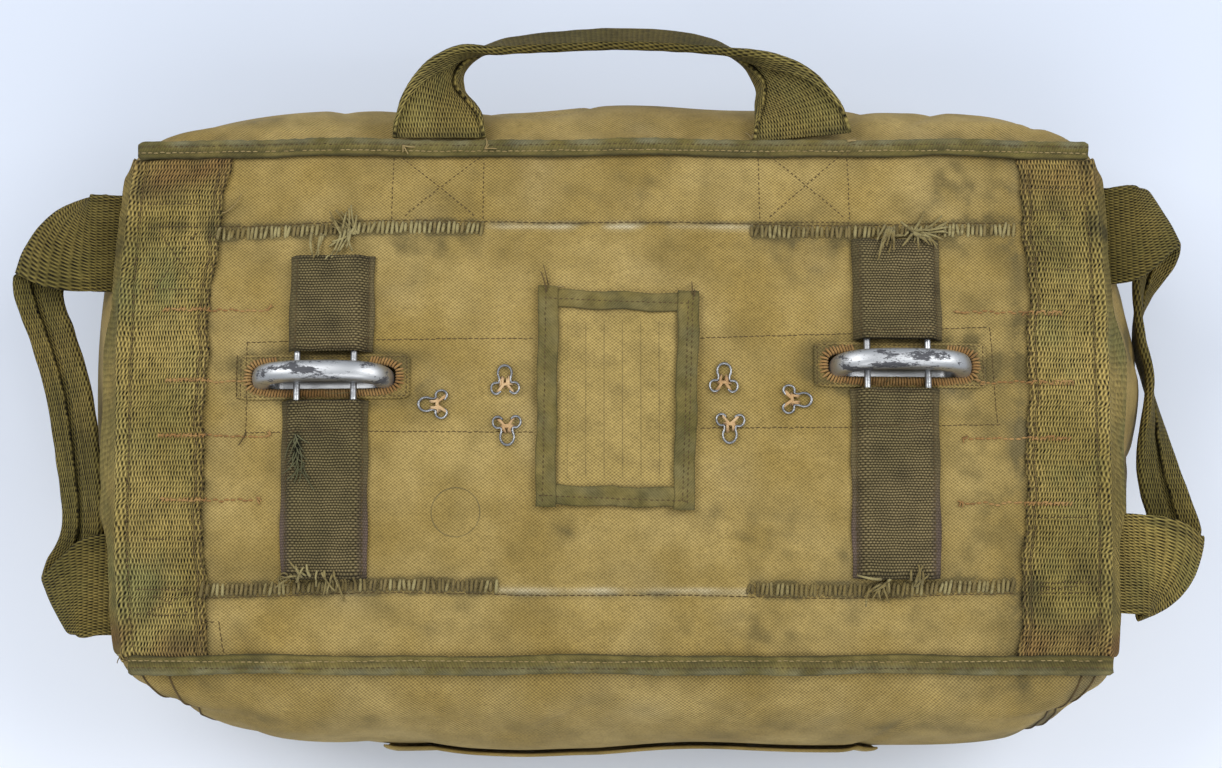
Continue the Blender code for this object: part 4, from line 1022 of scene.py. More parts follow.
def in_pocket(across, along):
    """A point of the pocket's slightly skewed outline, 0 to 1 each way."""
    low_left, low_right, high_right, high_left = POCKET_CORNERS
    across, along = (np.asarray(share, float)[..., None] for share in (across, along))
    low = low_left + (low_right - low_left) * across
    high = high_left + (high_right - high_left) * across
    return low * (1 - along) + high * along


def on_pocket(across, along, lift):
    """That point on the panel, raised by lift."""
    place = in_pocket(across, along)
    return panel_point(place[..., 0], place[..., 1], lift)


def pocket_canvas():
    """The window's canvas, with ruled lines in faded ink and nothing written on them."""
    canvas = Finish("pocket_window_canvas", roughness=0.9, sheen=0.04)
    across, along, _ = canvas.split(canvas.cloth())
    place = canvas.place()
    weave = duck_weave(across, along)
    middle = canvas.noise(place, 90, 4, 0.65)
    mottle = canvas.noise(place, 300, 3, 0.6)
    fine = canvas.noise(place, 900, 2)
    base = canvas.blend(canvas.noise(place, 26, 3).ramp(0.3, 0.7), (144, 124, 71), (161, 139, 84))
    # The painted soil brings dirt, and painted shade beside the binding strips.
    base = canvas.darkened(base, middle, 0.8, (104, 90, 56))
    rule = ((across / 0.0080).part() - 0.5).size().ramp(0.040, 0.025)
    ink = rule * canvas.painted("ruled") * (middle * 1.5 - 0.05 + fine * 0.3).least(1.0)
    base = canvas.blend(ink * 0.38, base, (70, 62, 42))
    shade = weave * 0.90 + fine * 0.60 + mottle * 0.50 + middle * 0.30 - 0.17
    return canvas.wear(canvas.shade(base, shade), weave * 0.7 + fine * 0.5, 0.0003, 0.55)


share_x, share_y = np.meshgrid(np.linspace(0, 1, 46), np.linspace(0, 1, 66))
pocket = make_sheet("sewn_pocket_panel", on_pocket(share_x, share_y, 0.0), 0.0011,
                    in_pocket(share_x, share_y))
pocket_points = points_of(pocket)
pocket_edge = np.minimum(0.0348 - np.abs(pocket_points[:, 0] - 0.0016),
                         0.0472 - np.abs(pocket_points[:, 1] - 0.0022))
# Darker in a band just inside the binding strips: painted shade beside their edges, with some grime.
paint(pocket, "soil_and_shade", 0.03 + 0.5 * (1 - step(pocket_edge, 0.0080, 0.0105))
      + 0.2 * unevenness(pocket_points, 0.012, 101))
paint(pocket, "ruled", step(pocket_edge, 0.0125, 0.0135))
fit(pocket, "pocket_panel", pocket_canvas(), flat=(0.0652, 0.0938), held="laid",
    rests_on=["canvas_container"])


def make_pocket_strip(name, start, end, width, lift, skew):
    """A strip of binding from start to end, in shares of the pocket, its outer edge on that line."""
    length = np.linspace(0, 1, 70)
    cross = np.linspace(0, 1, 13)
    start, end = np.array(start), np.array(end)
    inward = np.array((0.5, 0.5)) - (start + end) / 2
    inward = inward / np.abs(inward).max() * width / (0.066 if abs(inward[0]) > abs(inward[1]) else 0.094)
    wave = 0.010 * np.sin(length * 17 + skew)[:, None, None] * inward / np.abs(inward).max()
    places = start + (end - start) * length[:, None, None] + inward * cross[None, :, None] + wave * 0.4
    over = 0.0012 * bell(cross - 0.5, 0.34, 4)
    under = on_pocket(places[..., 0], places[..., 1], lift + over * 0.25)
    under[..., 2] += 0.00015 * unevenness(under, 0.006, 103)
    run = np.linalg.norm(in_pocket(*end) - in_pocket(*start))
    piece = make_sheet(name, under, 0.0011, points_from(cross * width, (length * run)[:, None]))
    points = points_of(piece)
    paint(piece, "rub", 0.12 + 0.15 * unevenness(points, 0.010, 107))
    from_middle = on_both_faces(np.abs(cross - 0.5), len(length), len(cross))
    paint(piece, "soil_and_shade", 0.15 + 0.45 * (from_middle > 0.42)
          + 0.14 * np.maximum(0, unevenness(points, 0.012, 105)))
    return fit(piece, "pocket_binding", pocket_binding_finish, flat=(width + 0.0030, run), held="folded",
               rests_on=["sewn_pocket_panel"])


pocket_binding_finish = olive_twill("pocket_twill", faded=0.7)
pocket_strips = [
    make_pocket_strip("pocket_binding_foot", (0.02, 0.0), (0.98, 0.0), 0.0086, 0.0013, 0.0),
    make_pocket_strip("pocket_binding_head", (0.02, 1.0), (0.98, 1.0), 0.0080, 0.0013, 2.0),
    make_pocket_strip("pocket_binding_left_side", (0.0, -0.01), (0.0, 1.015), 0.0082, 0.0021, 1.0),
    make_pocket_strip("pocket_binding_right_side", (1.0, -0.01), (1.0, 1.015), 0.0088, 0.0021, 4.0)]


# ---------------------------------------------------------------- wire eyes
# Six small eyes of plated wire, each a loop with two curls, lie flat on the canvas and are tacked
# down through their curls.

EYE_PLACES = ((-0.0784, -0.0003, 90), (-0.0472, 0.0102, 2), (-0.0462, -0.0117, 182),
              (0.0482, 0.0111, -2), (0.0799, 0.0018, -92), (0.0507, -0.0108, 177))
eye_steel = worn_steel("eye_steel", 0.45, 0.30, bright=0.62)
# Each eye's bent wire is made a little larger all round than its CAD piece, and longer in its loop.
for eye_number, (_, _, turn) in enumerate(EYE_PLACES, 1):
    eye = rounded_off("wire_eye_" + str(eye_number), "small_eye_" + str(eye_number), 1, eye_steel)
    points = points_of(eye)
    middle = (points.min(axis=0) + points.max(axis=0)) / 2
    middle[2] = points[:, 2].min()
    length = np.array((-math.sin(math.radians(turn)), math.cos(math.radians(turn)), 0.0))
    reach = points - middle
    points = middle + reach * (1.06, 1.06, 1.25) + 0.14 * (reach @ length)[:, None] * length
    eye.data.vertices.foreach_set("co", points.ravel())
    eye.data.update()


# ---------------------------------------------------------------- handles
# Each handle is 1 3/4 inch webbing, sewn flat to the pack at both ends and folded lengthwise in
# the grip, so that its two selvages lie side by side along the middle.

# Points along each handle: the middle of the webbing, the direction across it, its half width
# there and, where it bulges, how far its middle bows along X and Y.
HANDLE_TOP = (
    (-0.0785, 0.1222, 0.1240, -1.00, 0.00, 0.00, 0.0205),
    (-0.0785, 0.1310, 0.1240, -1.00, 0.00, 0.10, 0.0192),
    (-0.0775, 0.1420, 0.1230, -0.88, 0.18, 0.44, 0.0165),
    (-0.0755, 0.1520, 0.1215, -0.52, 0.32, 0.80, 0.0125),
    (-0.0690, 0.1605, 0.1195, 0.02, 0.15, 0.95, 0.0113),
    (-0.0560, 0.1655, 0.1175, 0.17, -0.31, 0.87, 0.0113),
    (-0.0360, 0.1690, 0.1155, 0.09, -0.51, 0.85, 0.0113),
    (0.0030, 0.1715, 0.1140, 0.00, -0.57, 0.82, 0.0113),
    (0.0360, 0.1690, 0.1155, -0.10, -0.49, 0.82, 0.0113),
    (0.0560, 0.1630, 0.1175, -0.15, -0.15, 0.80, 0.0113),
    (0.0690, 0.1550, 0.1195, 0.21, 0.28, 0.77, 0.0120),
    (0.0775, 0.1455, 0.1215, 0.70, 0.36, 0.46, 0.0155),
    (0.0835, 0.1340, 0.1235, 0.98, 0.16, 0.15, 0.0190),
    (0.0852, 0.1225, 0.1240, 1.00, 0.10, 0.00, 0.0218))
HANDLE_LEFT = (
    (-0.2200, 0.0765, 0.1100, 0.00, 1.00, 0.00, 0.0220),
    (-0.2275, 0.0765, 0.1112, 0.00, 1.00, 0.00, 0.0220),
    (-0.2370, 0.0765, 0.1125, 0.00, 1.00, 0.00, 0.0222, -0.0010, 0.0010),
    (-0.2450, 0.0775, 0.1102, 0.42, 0.91, -0.12, 0.0240, -0.0052, 0.0062),
    (-0.2505, 0.0800, 0.1055, 0.75, 0.66, -0.08, 0.0265, -0.0075, 0.0096),
    (-0.2560, 0.0700, 0.1000, 0.94, 0.34, 0.00, 0.0180, -0.0040, 0.0045),
    (-0.2625, 0.0640, 0.0985, 1.00, 0.10, 0.10, 0.0130, -0.0010, 0.0010),
    (-0.2640, 0.0560, 0.0980, 0.98, 0.05, 0.20, 0.0115),
    (-0.2610, 0.0460, 0.0982, 0.95, 0.05, 0.30, 0.0113),
    (-0.2564, 0.0350, 0.0990, 0.94, 0.10, 0.35, 0.0113),
    (-0.2473, 0.0079, 0.1010, 0.94, 0.10, 0.35, 0.0113),
    (-0.2400, -0.0306, 0.1040, 0.90, 0.05, 0.43, 0.0113),
    (-0.2385, -0.0500, 0.1030, 0.88, 0.00, 0.47, 0.0113),
    (-0.2420, -0.0640, 0.0990, 0.90, -0.30, 0.30, 0.0113),
    (-0.2465, -0.0745, 0.0985, 0.75, -0.65, 0.05, 0.0115),
    (-0.2483, -0.0853, 0.1040, 0.47, -0.88, 0.00, 0.0135, -0.0010, -0.0005),
    (-0.2425, -0.0830, 0.1105, 0.25, -0.97, 0.00, 0.0170),
    (-0.2360, -0.0795, 0.1122, 0.05, -1.00, 0.00, 0.0210),
    (-0.2263, -0.0775, 0.1112, 0.00, -1.00, 0.00, 0.0225),
    (-0.2200, -0.0775, 0.1100, 0.00, -1.00, 0.00, 0.0225))
HANDLE_RIGHT = (
    (0.2200, -0.0682, 0.1100, 0.00, -1.00, 0.00, 0.0222),
    (0.2266, -0.0682, 0.1112, 0.00, -1.00, 0.00, 0.0222),
    (0.2365, -0.0690, 0.1125, 0.00, -1.00, 0.00, 0.0222, 0.0010, -0.0010),
    (0.2440, -0.0705, 0.1102, -0.38, -0.92, -0.12, 0.0228, 0.0045, -0.0036),
    (0.2480, -0.0735, 0.1055, -0.63, -0.77, -0.08, 0.0232, 0.0075, -0.0060),
    (0.2510, -0.0620, 0.1005, -0.93, -0.35, 0.00, 0.0145, 0.0030, -0.0025),
    (0.2535, -0.0530, 0.0985, -1.00, -0.10, 0.10, 0.0120),
    (0.2525, -0.0450, 0.0980, -1.00, 0.00, 0.15, 0.0113),
    (0.2500, -0.0350, 0.0970, -0.97, 0.00, 0.25, 0.0113),
    (0.2485, -0.0240, 0.0940, -0.90, 0.00, 0.42, 0.0113),
    (0.2490, -0.0100, 0.0870, -0.72, 0.00, 0.70, 0.0113),
    (0.2505, 0.0060, 0.0790, -0.40, 0.00, 0.92, 0.0113),
    (0.2500, 0.0210, 0.0760, -0.15, 0.00, 1.00, 0.0113),
    (0.2465, 0.0370, 0.0770, -0.15, 0.00, 1.00, 0.0113),
    (0.2455, 0.0520, 0.0820, -0.30, 0.10, 0.95, 0.0113),
    (0.2470, 0.0650, 0.0900, -0.60, 0.35, 0.75, 0.0113),
    (0.2505, 0.0770, 0.0965, -0.75, 0.60, 0.25, 0.0118),
    (0.2515, 0.0885, 0.1040, -0.50, 0.86, 0.00, 0.0140, 0.0010, 0.0005),
    (0.2445, 0.0855, 0.1105, -0.25, 0.95, 0.00, 0.0175),
    (0.2375, 0.0820, 0.1122, -0.05, 1.00, 0.00, 0.0210),
    (0.2264, 0.0800, 0.1112, 0.00, 1.00, 0.00, 0.0222),
    (0.2200, 0.0800, 0.1100, 0.00, 1.00, 0.00, 0.0222))
STRAP_HALF_WIDTH = 0.0222
FOLD_RADIUS = 0.0014  # of each half's turn in the grip


def fold_strap(half_width, spread):
    """Where points spread across the strap come to, sideways and up, once it is folded in."""
    whole = max(STRAP_HALF_WIDTH, half_width)
    folded = whole - half_width
    if folded > 0.57 * FOLD_RADIUS:
        turned = folded + FOLD_RADIUS
    else:
        turned = (6 * FOLD_RADIUS ** 2 * folded) ** (1 / 3)
    flat_part = whole - turned
    reach = np.abs(spread) * whole
    past = np.clip((reach - flat_part) / FOLD_RADIUS, 0, math.pi)
    beyond = np.maximum(0, reach - flat_part - math.pi * FOLD_RADIUS)
    sideways = np.minimum(reach, flat_part) + FOLD_RADIUS * np.sin(past) - beyond
    up = FOLD_RADIUS * (1 - np.cos(past))
    return np.sign(spread) * sideways, up


def make_handle(name, stations, steps, length, dark_ends, dark_grip):
    """A handle. dark_ends says how dark its first and its last end is, dark_grip its grip."""
    rows = smooth_rows([(row + (0, 0))[:9] for row in stations], np.linspace(0, len(stations) - 1, steps))
    centre, across, half_width, bow = rows[:, :3], rows[:, 3:6], rows[:, 6], rows[:, 7:]
    across = unit(across)
    ahead = np.gradient(centre, axis=0)
    ahead = unit(ahead - across * (ahead * across).sum(axis=1, keepdims=True))
    up = np.cross(ahead, across)
    spread = np.linspace(-1, 1, 53)
    points = np.empty((steps, len(spread), 3))
    for index in range(steps):
        sideways, rise = fold_strap(half_width[index], spread)
        # Folded, the webbing keeps its two layers either side of the middle.
        level = rise - FOLD_RADIUS * min(1.0, max(0.0, (0.0180 - half_width[index]) / 0.0050))
        points[index] = centre[index] + across[index] * sideways[:, None] + up[index] * level[:, None]
        points[index, :, :2] += bow[index] * (1 - (sideways / half_width[index])[:, None] ** 2)
    run = run_along(centre)
    flat = points_from(spread * STRAP_HALF_WIDTH, run[:, None])
    points += cloth_normals(points, up.mean(axis=0)) * 0.00012 * unevenness(points, 0.012, 109)[..., None]
    middle_up = up[:, None] * (np.abs(spread) < 0.01)[:, None]
    piece = thicken("sewn_" + name, points, cloth_normals(points, middle_up), -0.0007, 0.0007, flat)
    sheet = (steps, len(spread))
    ends = np.minimum(run, run[-1] - run)[:, None]
    # Darker along a line near each edge and near both ends: painted shade where the folded layers meet and
    # where the ends go in under the webbing and binding, with grime.
    edge_line = on_both_faces(bell(np.abs(spread) - 0.86, 0.035), *sheet)
    near_end = on_both_faces(1 - step(ends, 0.0, 0.006), *sheet)
    paint(piece, "soil_and_shade", 0.12 + 0.55 * edge_line + 0.6 * near_end
          + 0.25 * unevenness(points_of(piece), 0.030, 113))
    paint(piece, "rust", 0)
    paint(piece, "green", 0.5)
    first, last = dark_ends
    dark = first + (last - first) * run[:, None] / run[-1]
    paint(piece, "grip", on_both_faces(dark + (dark_grip - dark) * step(ends, 0.02, 0.07), *sheet))
    return fit(piece, name, handle_finish, flat=(2 * STRAP_HALF_WIDTH, length), held="folded",
               rests_on=["canvas_container"])


handle_finish = olive_webbing("handle_cotton", column=0.00130, green=0.55, dark=0.85)
make_handle("handle_top", HANDLE_TOP, 240, 0.250, (0.20, 0.20), 0.90)
make_handle("handle_left", HANDLE_LEFT, 260, 0.250, (0.80, 0.68), 0.72)
make_handle("handle_right", HANDLE_RIGHT, 260, 0.250, (0.15, 0.90), 0.75)


# ---------------------------------------------------------------- flap of the near side
# A canvas flap lies along the near side. Its lower edge is turned in twice and stitched, and the
# thick hem stands a little off the side.

def make_side_flap():
    """The flap, from its fold down to the hem's lower edge."""
    x = np.linspace(-0.1050, 0.1200, 160)
    down = np.linspace(0, 1, 26)
    lean = 1 - 0.012 * np.sin(x * 31)
    rows = np.stack([side_point(x * 0.925 * lean, np.full(len(x), PANEL_NEAR_Y), np.full(len(x), level))
                     for level in 4.15 + 1.45 * down], axis=1)
    hem = step(down, 0.80, 0.86)
    ends = step(np.minimum(x - x[0], x[-1] - x), 0.0, 0.006)
    stand = (0.0012 + 0.0006 * down ** 2 + 0.0006 * hem) * (0.4 + 0.6 * ends[:, None])
    rows[..., 1] -= stand + 0.0004 * unevenness(rows, 0.030, 137) * down
    flat = points_from(x[:, None], -0.0330 * down)
    piece = make_sheet("side_flap_canvas", rows, 0.0016, flat, (0, -1, 0.3))
    across = on_both_faces(down, len(x), len(down))
    paint(piece, "soil_and_shade", 0.15 + 0.45 * bell(across - 0.83, 0.02) + 0.3 * (across > 0.99)
          + 0.10 * unevenness(points_of(piece), 0.02, 139))
    paint(piece, "chalk", 0)
    fit(piece, "side_flap_hem", khaki_canvas("side_flap_canvas"), flat=(0.0330, 0.2150), held="hung",
        rests_on=["canvas_container"])


make_side_flap()


# ---------------------------------------------------------------- hand and machine stitching
# The pack is sewn with waxed cotton thread: machine rows along bindings, tapes and webbing, pale
# overcast stitches over the long seams, and rust-coloured thread at the slots and tacks.

class Stitching:
    """Lengths of one thread, gathered into one piece. Each is a round tube along its points."""

    SIDES = 6  # of the tube

    def __init__(self, name, slot, finish):
        self.name, self.slot, self.finish = name, slot, finish
        self.points, self.faces, self.count = [], [], 0

    def lay(self, paths, radius):
        """Add lengths of thread. paths has each length's points, radius one number or one a point."""
        paths = np.asarray(paths, float)
        paths = paths[None] if paths.ndim == 2 else paths
        count = paths.shape[1]
        ahead = unit(np.gradient(paths, axis=1))
        side = unit(np.cross(ahead, (0.0, 0.0, 1.0)) + (1e-5, 1e-5, 0))
        up = np.cross(side, ahead)
        turns = np.linspace(0, 2 * math.pi, self.SIDES + 1)[:-1, None]
        thick = np.broadcast_to(radius, (count,))[None, :, None, None]
        around = np.cos(turns) * side[:, :, None] + np.sin(turns) * up[:, :, None]
        rings = paths[:, :, None] + thick * around
        index = self.count + np.arange(rings.size // 3).reshape(rings.shape[:3])
        after = np.roll(index, -1, axis=2)
        walls = np.stack((index[:, :-1], index[:, 1:], after[:, 1:], after[:, :-1]), axis=-1)
        self.points.append(rings.reshape(-1, 3))
        self.faces += walls.reshape(-1, 4).tolist()
        self.faces += index[:, 0].tolist() + index[:, -1, ::-1].tolist()
        self.count += index.size

    def sew_in(self):
        """Make one piece of all the lengths laid."""
        piece = make_piece(self.name, np.concatenate(self.points), self.faces)
        piece.data.materials.append(self.finish)
        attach(piece, "root")


def waxed_thread(name, colour, faded, darkened):
    """Waxed thread, faded in some patches and dirty in others."""
    thread = Finish(name, roughness=0.82, sheen=0.08)
    place = thread.place()
    large = thread.noise(place, 45, 3).ramp(0.38, 0.64)
    fine = thread.noise(place, 1500, 2)
    middle = thread.noise(place, 260, 3, 0.6)
    base = thread.blend(large, colour, faded)
    base = thread.blend(middle.ramp(0.50, 0.68) * 0.6, base, darkened)
    return thread.wear(thread.shade(base, 0.72 + fine * 0.5), fine, 0.0002, 0.5)


brown_thread = Stitching("machine_stitches_brown", "body",
                         waxed_thread("brown_thread", (84, 68, 38), (96, 78, 46), (60, 48, 28)))
tan_thread = Stitching("machine_stitches_tan", "body",
                       waxed_thread("tan_thread", (146, 126, 80), (162, 142, 96), (114, 96, 58)))
olive_thread = Stitching("overcast_stitches", "body",
                         waxed_thread("olive_thread", (122, 106, 62), (158, 146, 100), (92, 78, 44)))
dull_thread = Stitching("overcast_stitches_dull", "body",
                        waxed_thread("dull_thread", (106, 92, 54), (130, 114, 72), (78, 66, 38)))
rust_thread = Stitching("buttonhole_stitches", "body",
                        waxed_thread("rust_thread", (148, 110, 63), (172, 136, 84), (108, 80, 47)))
green_thread = Stitching("tape_tear_threads", "channel_tape_lower_left",
                         waxed_thread("tear_thread", (84, 84, 56), (108, 106, 76), (54, 54, 36)))
pale_thread = Stitching("eye_tacks", "wire_eye_1",
                        waxed_thread("eye_thread", (190, 154, 108), (214, 182, 138), (150, 112, 72)))

sewn_cloth = [container, left_webbing, right_webbing, top_binding, bottom_binding, pocket,
              *slot_facings, *tapes, *pocket_strips]
cloth_points, cloth_faces = [], []
for cloth in sewn_cloth:
    start = len(cloth_points)
    cloth_points += [vertex.co.copy() for vertex in cloth.data.vertices]
    cloth_faces += [[start + corner for corner in face.vertices] for face in cloth.data.polygons]
cloth_tree = BVHTree.FromPolygons(cloth_points, cloth_faces)


def seat(x, y, lift):
    """Points above the top of the cloth at x, y, by lift."""
    x, y = np.broadcast_arrays(np.asarray(x, float), np.asarray(y, float))
    height = np.zeros(x.shape)
    for place in np.ndindex(x.shape):
        hit = cloth_tree.ray_cast(Vector((x[place], y[place], 0.30)), Vector((0, 0, -1)))[0]
        height[place] = hit.z if hit else 0.110
    return points_from(x, y, height + lift)


needle = np.random.default_rng(127)


def along_line(corners, distances):
    """The x and the y of points at distances along a line through corners."""
    corners = np.array(corners, float)
    return (np.interp(distances, run_along(corners), part) for part in corners.T)


def line_length(corners):
    """The length of a line through corners."""
    return np.linalg.norm(np.diff(np.array(corners, float), axis=0), axis=1).sum()


def sew(thread, corners, pitch=0.0025, share=0.66, radius=0.00026, wander=0.00010, missed=0.0):
    """A row of stitches through corners, each lying on the cloth and dipping into it at its ends."""
    starts = np.arange(0, line_length(corners) - pitch * share, pitch)
    starts = starts[needle.random(len(starts)) >= missed]
    places = starts[:, None] + np.linspace(0, share * pitch, 5)
    x, y = along_line(corners, places)
    x = x + needle.normal(0, wander, x[:, :1].shape)
    y = y + needle.normal(0, wander, y[:, :1].shape)
    arch = np.sin(np.linspace(0, math.pi, 5))
    thread.lay(seat(x, y, radius * (1.3 * arch - 0.7)), radius * (0.6 + 0.4 * arch))


def stray(thread, x, y, heading, length, rise, curl, radius, points=9):
    """One loose thread from x, y: it lifts, curls and thins towards its tip."""
    share = np.linspace(0, 1, points)
    angle = math.radians(heading) + curl * share
    steps = length / (points - 1)
    path_x = x + np.concatenate(([0], (np.cos(angle[1:]) * steps).cumsum()))
    path_y = y + np.concatenate(([0], (np.sin(angle[1:]) * steps).cumsum()))
    path = seat(path_x, path_y, 0.0)
    path[:, 2] = np.maximum(path[:, 2], path[:, 2].mean() - 0.001)
    path[:, 2] += rise * np.sin(share * math.pi * 0.8) + radius * 0.6
    thread.lay(path, radius * (1 - 0.45 * share))


# Rows that hold the slots' backing, seen as brown dashes round each slot and under the tapes.
for corners in (((-0.1618, 0.0277), (-0.1250, 0.0284), (-0.0329, 0.0289)),
                ((-0.1618, -0.0121), (-0.1050, -0.0120), (-0.0329, -0.0125)),
                ((-0.1612, 0.0285), (-0.1606, 0.0080), (-0.1612, -0.0125)),
                ((0.0379, 0.0289), (0.1000, 0.0310), (0.1657, 0.0348)),
                ((0.0379, -0.0107), (0.1000, -0.0102), (0.1714, -0.0084)),
                ((0.1660, 0.0350), (0.1672, 0.0130), (0.1684, -0.0086)),
                ((-0.1655, 0.0225), (-0.1655, 0.0030), (-0.1612, 0.0028))):
    sew(brown_thread, corners, 0.0024, 0.92, 0.00022)
for slot_x, slot_y in SLOTS.values():
    across, along = 0.0366, 0.0087
    sew(brown_thread, ((slot_x - across, slot_y - along), (slot_x - across, slot_y + along),
                       (slot_x + across, slot_y + along), (slot_x + across, slot_y - along),
                       (slot_x - across, slot_y - along)), 0.0022, 0.75, 0.00022)

# Boxes with crosses that hold the handles' ends under the panel and under the edge webbing.
for left, right, low, high in ((-0.0985, -0.0580, 0.0815, 0.1125), (0.0650, 0.1050, 0.0820, 0.1145)):
    sew(brown_thread, ((left, high), (left, low), (right, low), (right, high)), 0.0023, 0.62, 0.00024)
    sew(brown_thread, ((left + 0.004, high), (right - 0.002, low + 0.002)), 0.0023, 0.62, 0.00025)
    sew(brown_thread, ((right - 0.002, high), (left + 0.004, low + 0.002)), 0.0023, 0.62, 0.00025)
# The side handles' ends have three rows across each, and a cross between the last two.
for side, rows in ((-1, ((0.0910, 0.0805, 0.0520), (-0.0588, -0.0805, -0.0915))),
                   (1, ((0.0985, 0.0882, 0.0606), (-0.0492, -0.0775, -0.0820)))):
    for first, second, third in rows:
        for row_y in (first, second, third):
            sew(brown_thread, ((side * 0.2080, row_y + 0.0004), (side * 0.1840, row_y)),
                0.0026, 0.72, 0.00028, missed=0.10)
        for start_y, end_y, missed in ((second - 0.001, third + 0.001, 0.12),
                                       (third + 0.001, second - 0.001, 0.30)):
            sew(brown_thread, ((side * 0.2030, start_y), (side * 0.1845, end_y)),
                0.0026, 0.7, 0.00028, missed=missed)
    ys = np.arange(-0.1080, 0.1105, 0.0030)
    zigzag = 0.0005 * (-1) ** np.arange(len(ys))
    rim = side * (PANEL_HALF_LENGTH - RIM_ROW) + draw_in(side * PANEL_HALF_LENGTH, ys)
    for row_x, missed in ((inner_edge(ys, side) + side * 0.0009, 0.10),
                          (inner_edge(ys, side) + side * INNER_ROW, 0.25), (rim, 0.15)):
        sew(brown_thread, points_from(row_x + zigzag, ys), 0.0030, 0.80, 0.00030, missed=missed)

# The channel tapes' edges, and their ends beside the rings.
for ring_side, left, right, low, high in TAPES.values():
    for column in (left + 0.0022, right - 0.0022):
        sew(brown_thread, ((column, low + 0.001), (column, high - 0.001)), 0.0024, 0.60, 0.00028)
    inner_y = low if low > 0 else high
    lean = math.copysign(0.0016, inner_y - SLOTS[ring_side][1])
    sew(brown_thread, ((left + 0.0060, inner_y + lean), (right - 0.0060, inner_y + lean)),
        0.0017, 0.50, 0.00026)

# Two rows on each seam binding: a dark one and a tan one.
for side in (-1, 1):
    xs = np.linspace(-0.2150, 0.2150, 60)
    middle = PANEL_MIDDLE_Y + side * (PANEL_HALF_WIDTH - 0.0012) + 0.0003 * np.sin(xs * 46 + side)
    sew(brown_thread, points_from(xs, middle + side * 0.0014), 0.0025, 0.60, 0.00024)
    sew(tan_thread, points_from(xs, middle - side * 0.0015), 0.0028, 0.80, 0.00027, missed=0.04)

# The pocket's binding, sewn once along the left, head and foot and twice along the right.
for start, end in (((0.045, 0.01), (0.045, 1.02)), ((0.020, 0.040), (0.960, 0.030)),
                   ((0.060, 0.955), (0.940, 0.955)), ((0.925, 0.03), (0.930, 0.99)),
                   ((0.955, 0.02), (0.958, 1.0))):
    sew(brown_thread, (in_pocket(*start), in_pocket(*end)), 0.0024, 0.62, 0.00024)

# The long seams: a thin brown row along the outer side, and overcast stitches across the ends.
for seam_y in SEAMS:
    xs = np.linspace(-0.1780, 0.1780, 120)
    lean = math.copysign(0.0034, seam_y)
    sew(brown_thread, points_from(xs, seam_line(xs, seam_y) + lean), 0.0030, 0.92, 0.00024)
for start, end, seam_y in OVERCAST_RUNS:
    xs = np.arange(start, end, 0.0021)
    xs = xs + needle.normal(0, 0.00026, xs.shape)
    reach = np.linspace(-1, 1, 7)
    long = 0.0027 + needle.normal(0, 0.00034, xs.shape)
    skew = needle.normal(0.0003, 0.00026, xs.shape)
    x = xs[:, None] + skew[:, None] * reach
    y = seam_line(xs, seam_y)[:, None] + long[:, None] * reach
    paths = seat(x, y, 0.00085 * (1 - reach ** 4) - 0.00015)
    thick = 0.00056 + 0.00022 * (1 - reach ** 2)
    dirty = unevenness(points_from(xs, seam_y, 0.0), 0.016, 131) + needle.normal(0, 0.5, xs.shape) > 0.5
    olive_thread.lay(paths[~dirty], thick)
    dull_thread.lay(paths[dirty], thick)

# Rust-coloured buttonhole stitch round each slot, over the facing's cut edge.
for slot_x, slot_y in SLOTS.values():
    out, up = squared_round(np.linspace(0, 2 * math.pi, 1441), 0.45)
    outline = points_from(slot_x + 0.0322 * out, slot_y + 0.0060 * up)
    rounds = np.arange(0, line_length(outline), 0.00125)
    x, y = along_line(outline, rounds)
    under_ring = (y > slot_y) & (np.abs(x - slot_x) < 0.0200)
    rounds, x, y = rounds[~under_ring], x[~under_ring], y[~under_ring]
    ahead_x, ahead_y = along_line(outline, rounds + 0.0008)
    behind_x, behind_y = along_line(outline, np.maximum(rounds - 0.0008, 0))
    across = unit(points_from(ahead_y - behind_y, behind_x - ahead_x)) * 0.7
    across = across + unit(points_from(x - slot_x, 3 * (y - slot_y))) * 0.3
    long = 0.0036 + needle.normal(0, 0.00025, x.shape)
    shares = np.array((1.0, 0.85, 0.5, 0.15, 0.0, -0.03))
    rise = np.array((0.0002, 0.0014, 0.0019, 0.0019, 0.0012, -0.0012))
    places = points_from(x, y)[:, None] + across[:, None] * (long[:, None] * shares)[..., None]
    loops = panel_point(places[..., 0], places[..., 1])
    loops[..., 2] += rise + needle.normal(0, 0.00008, (len(x), 1))
    rust_thread.lay(loops, np.array((0.00032, 0.00044, 0.00052, 0.00054, 0.00054, 0.00044)))

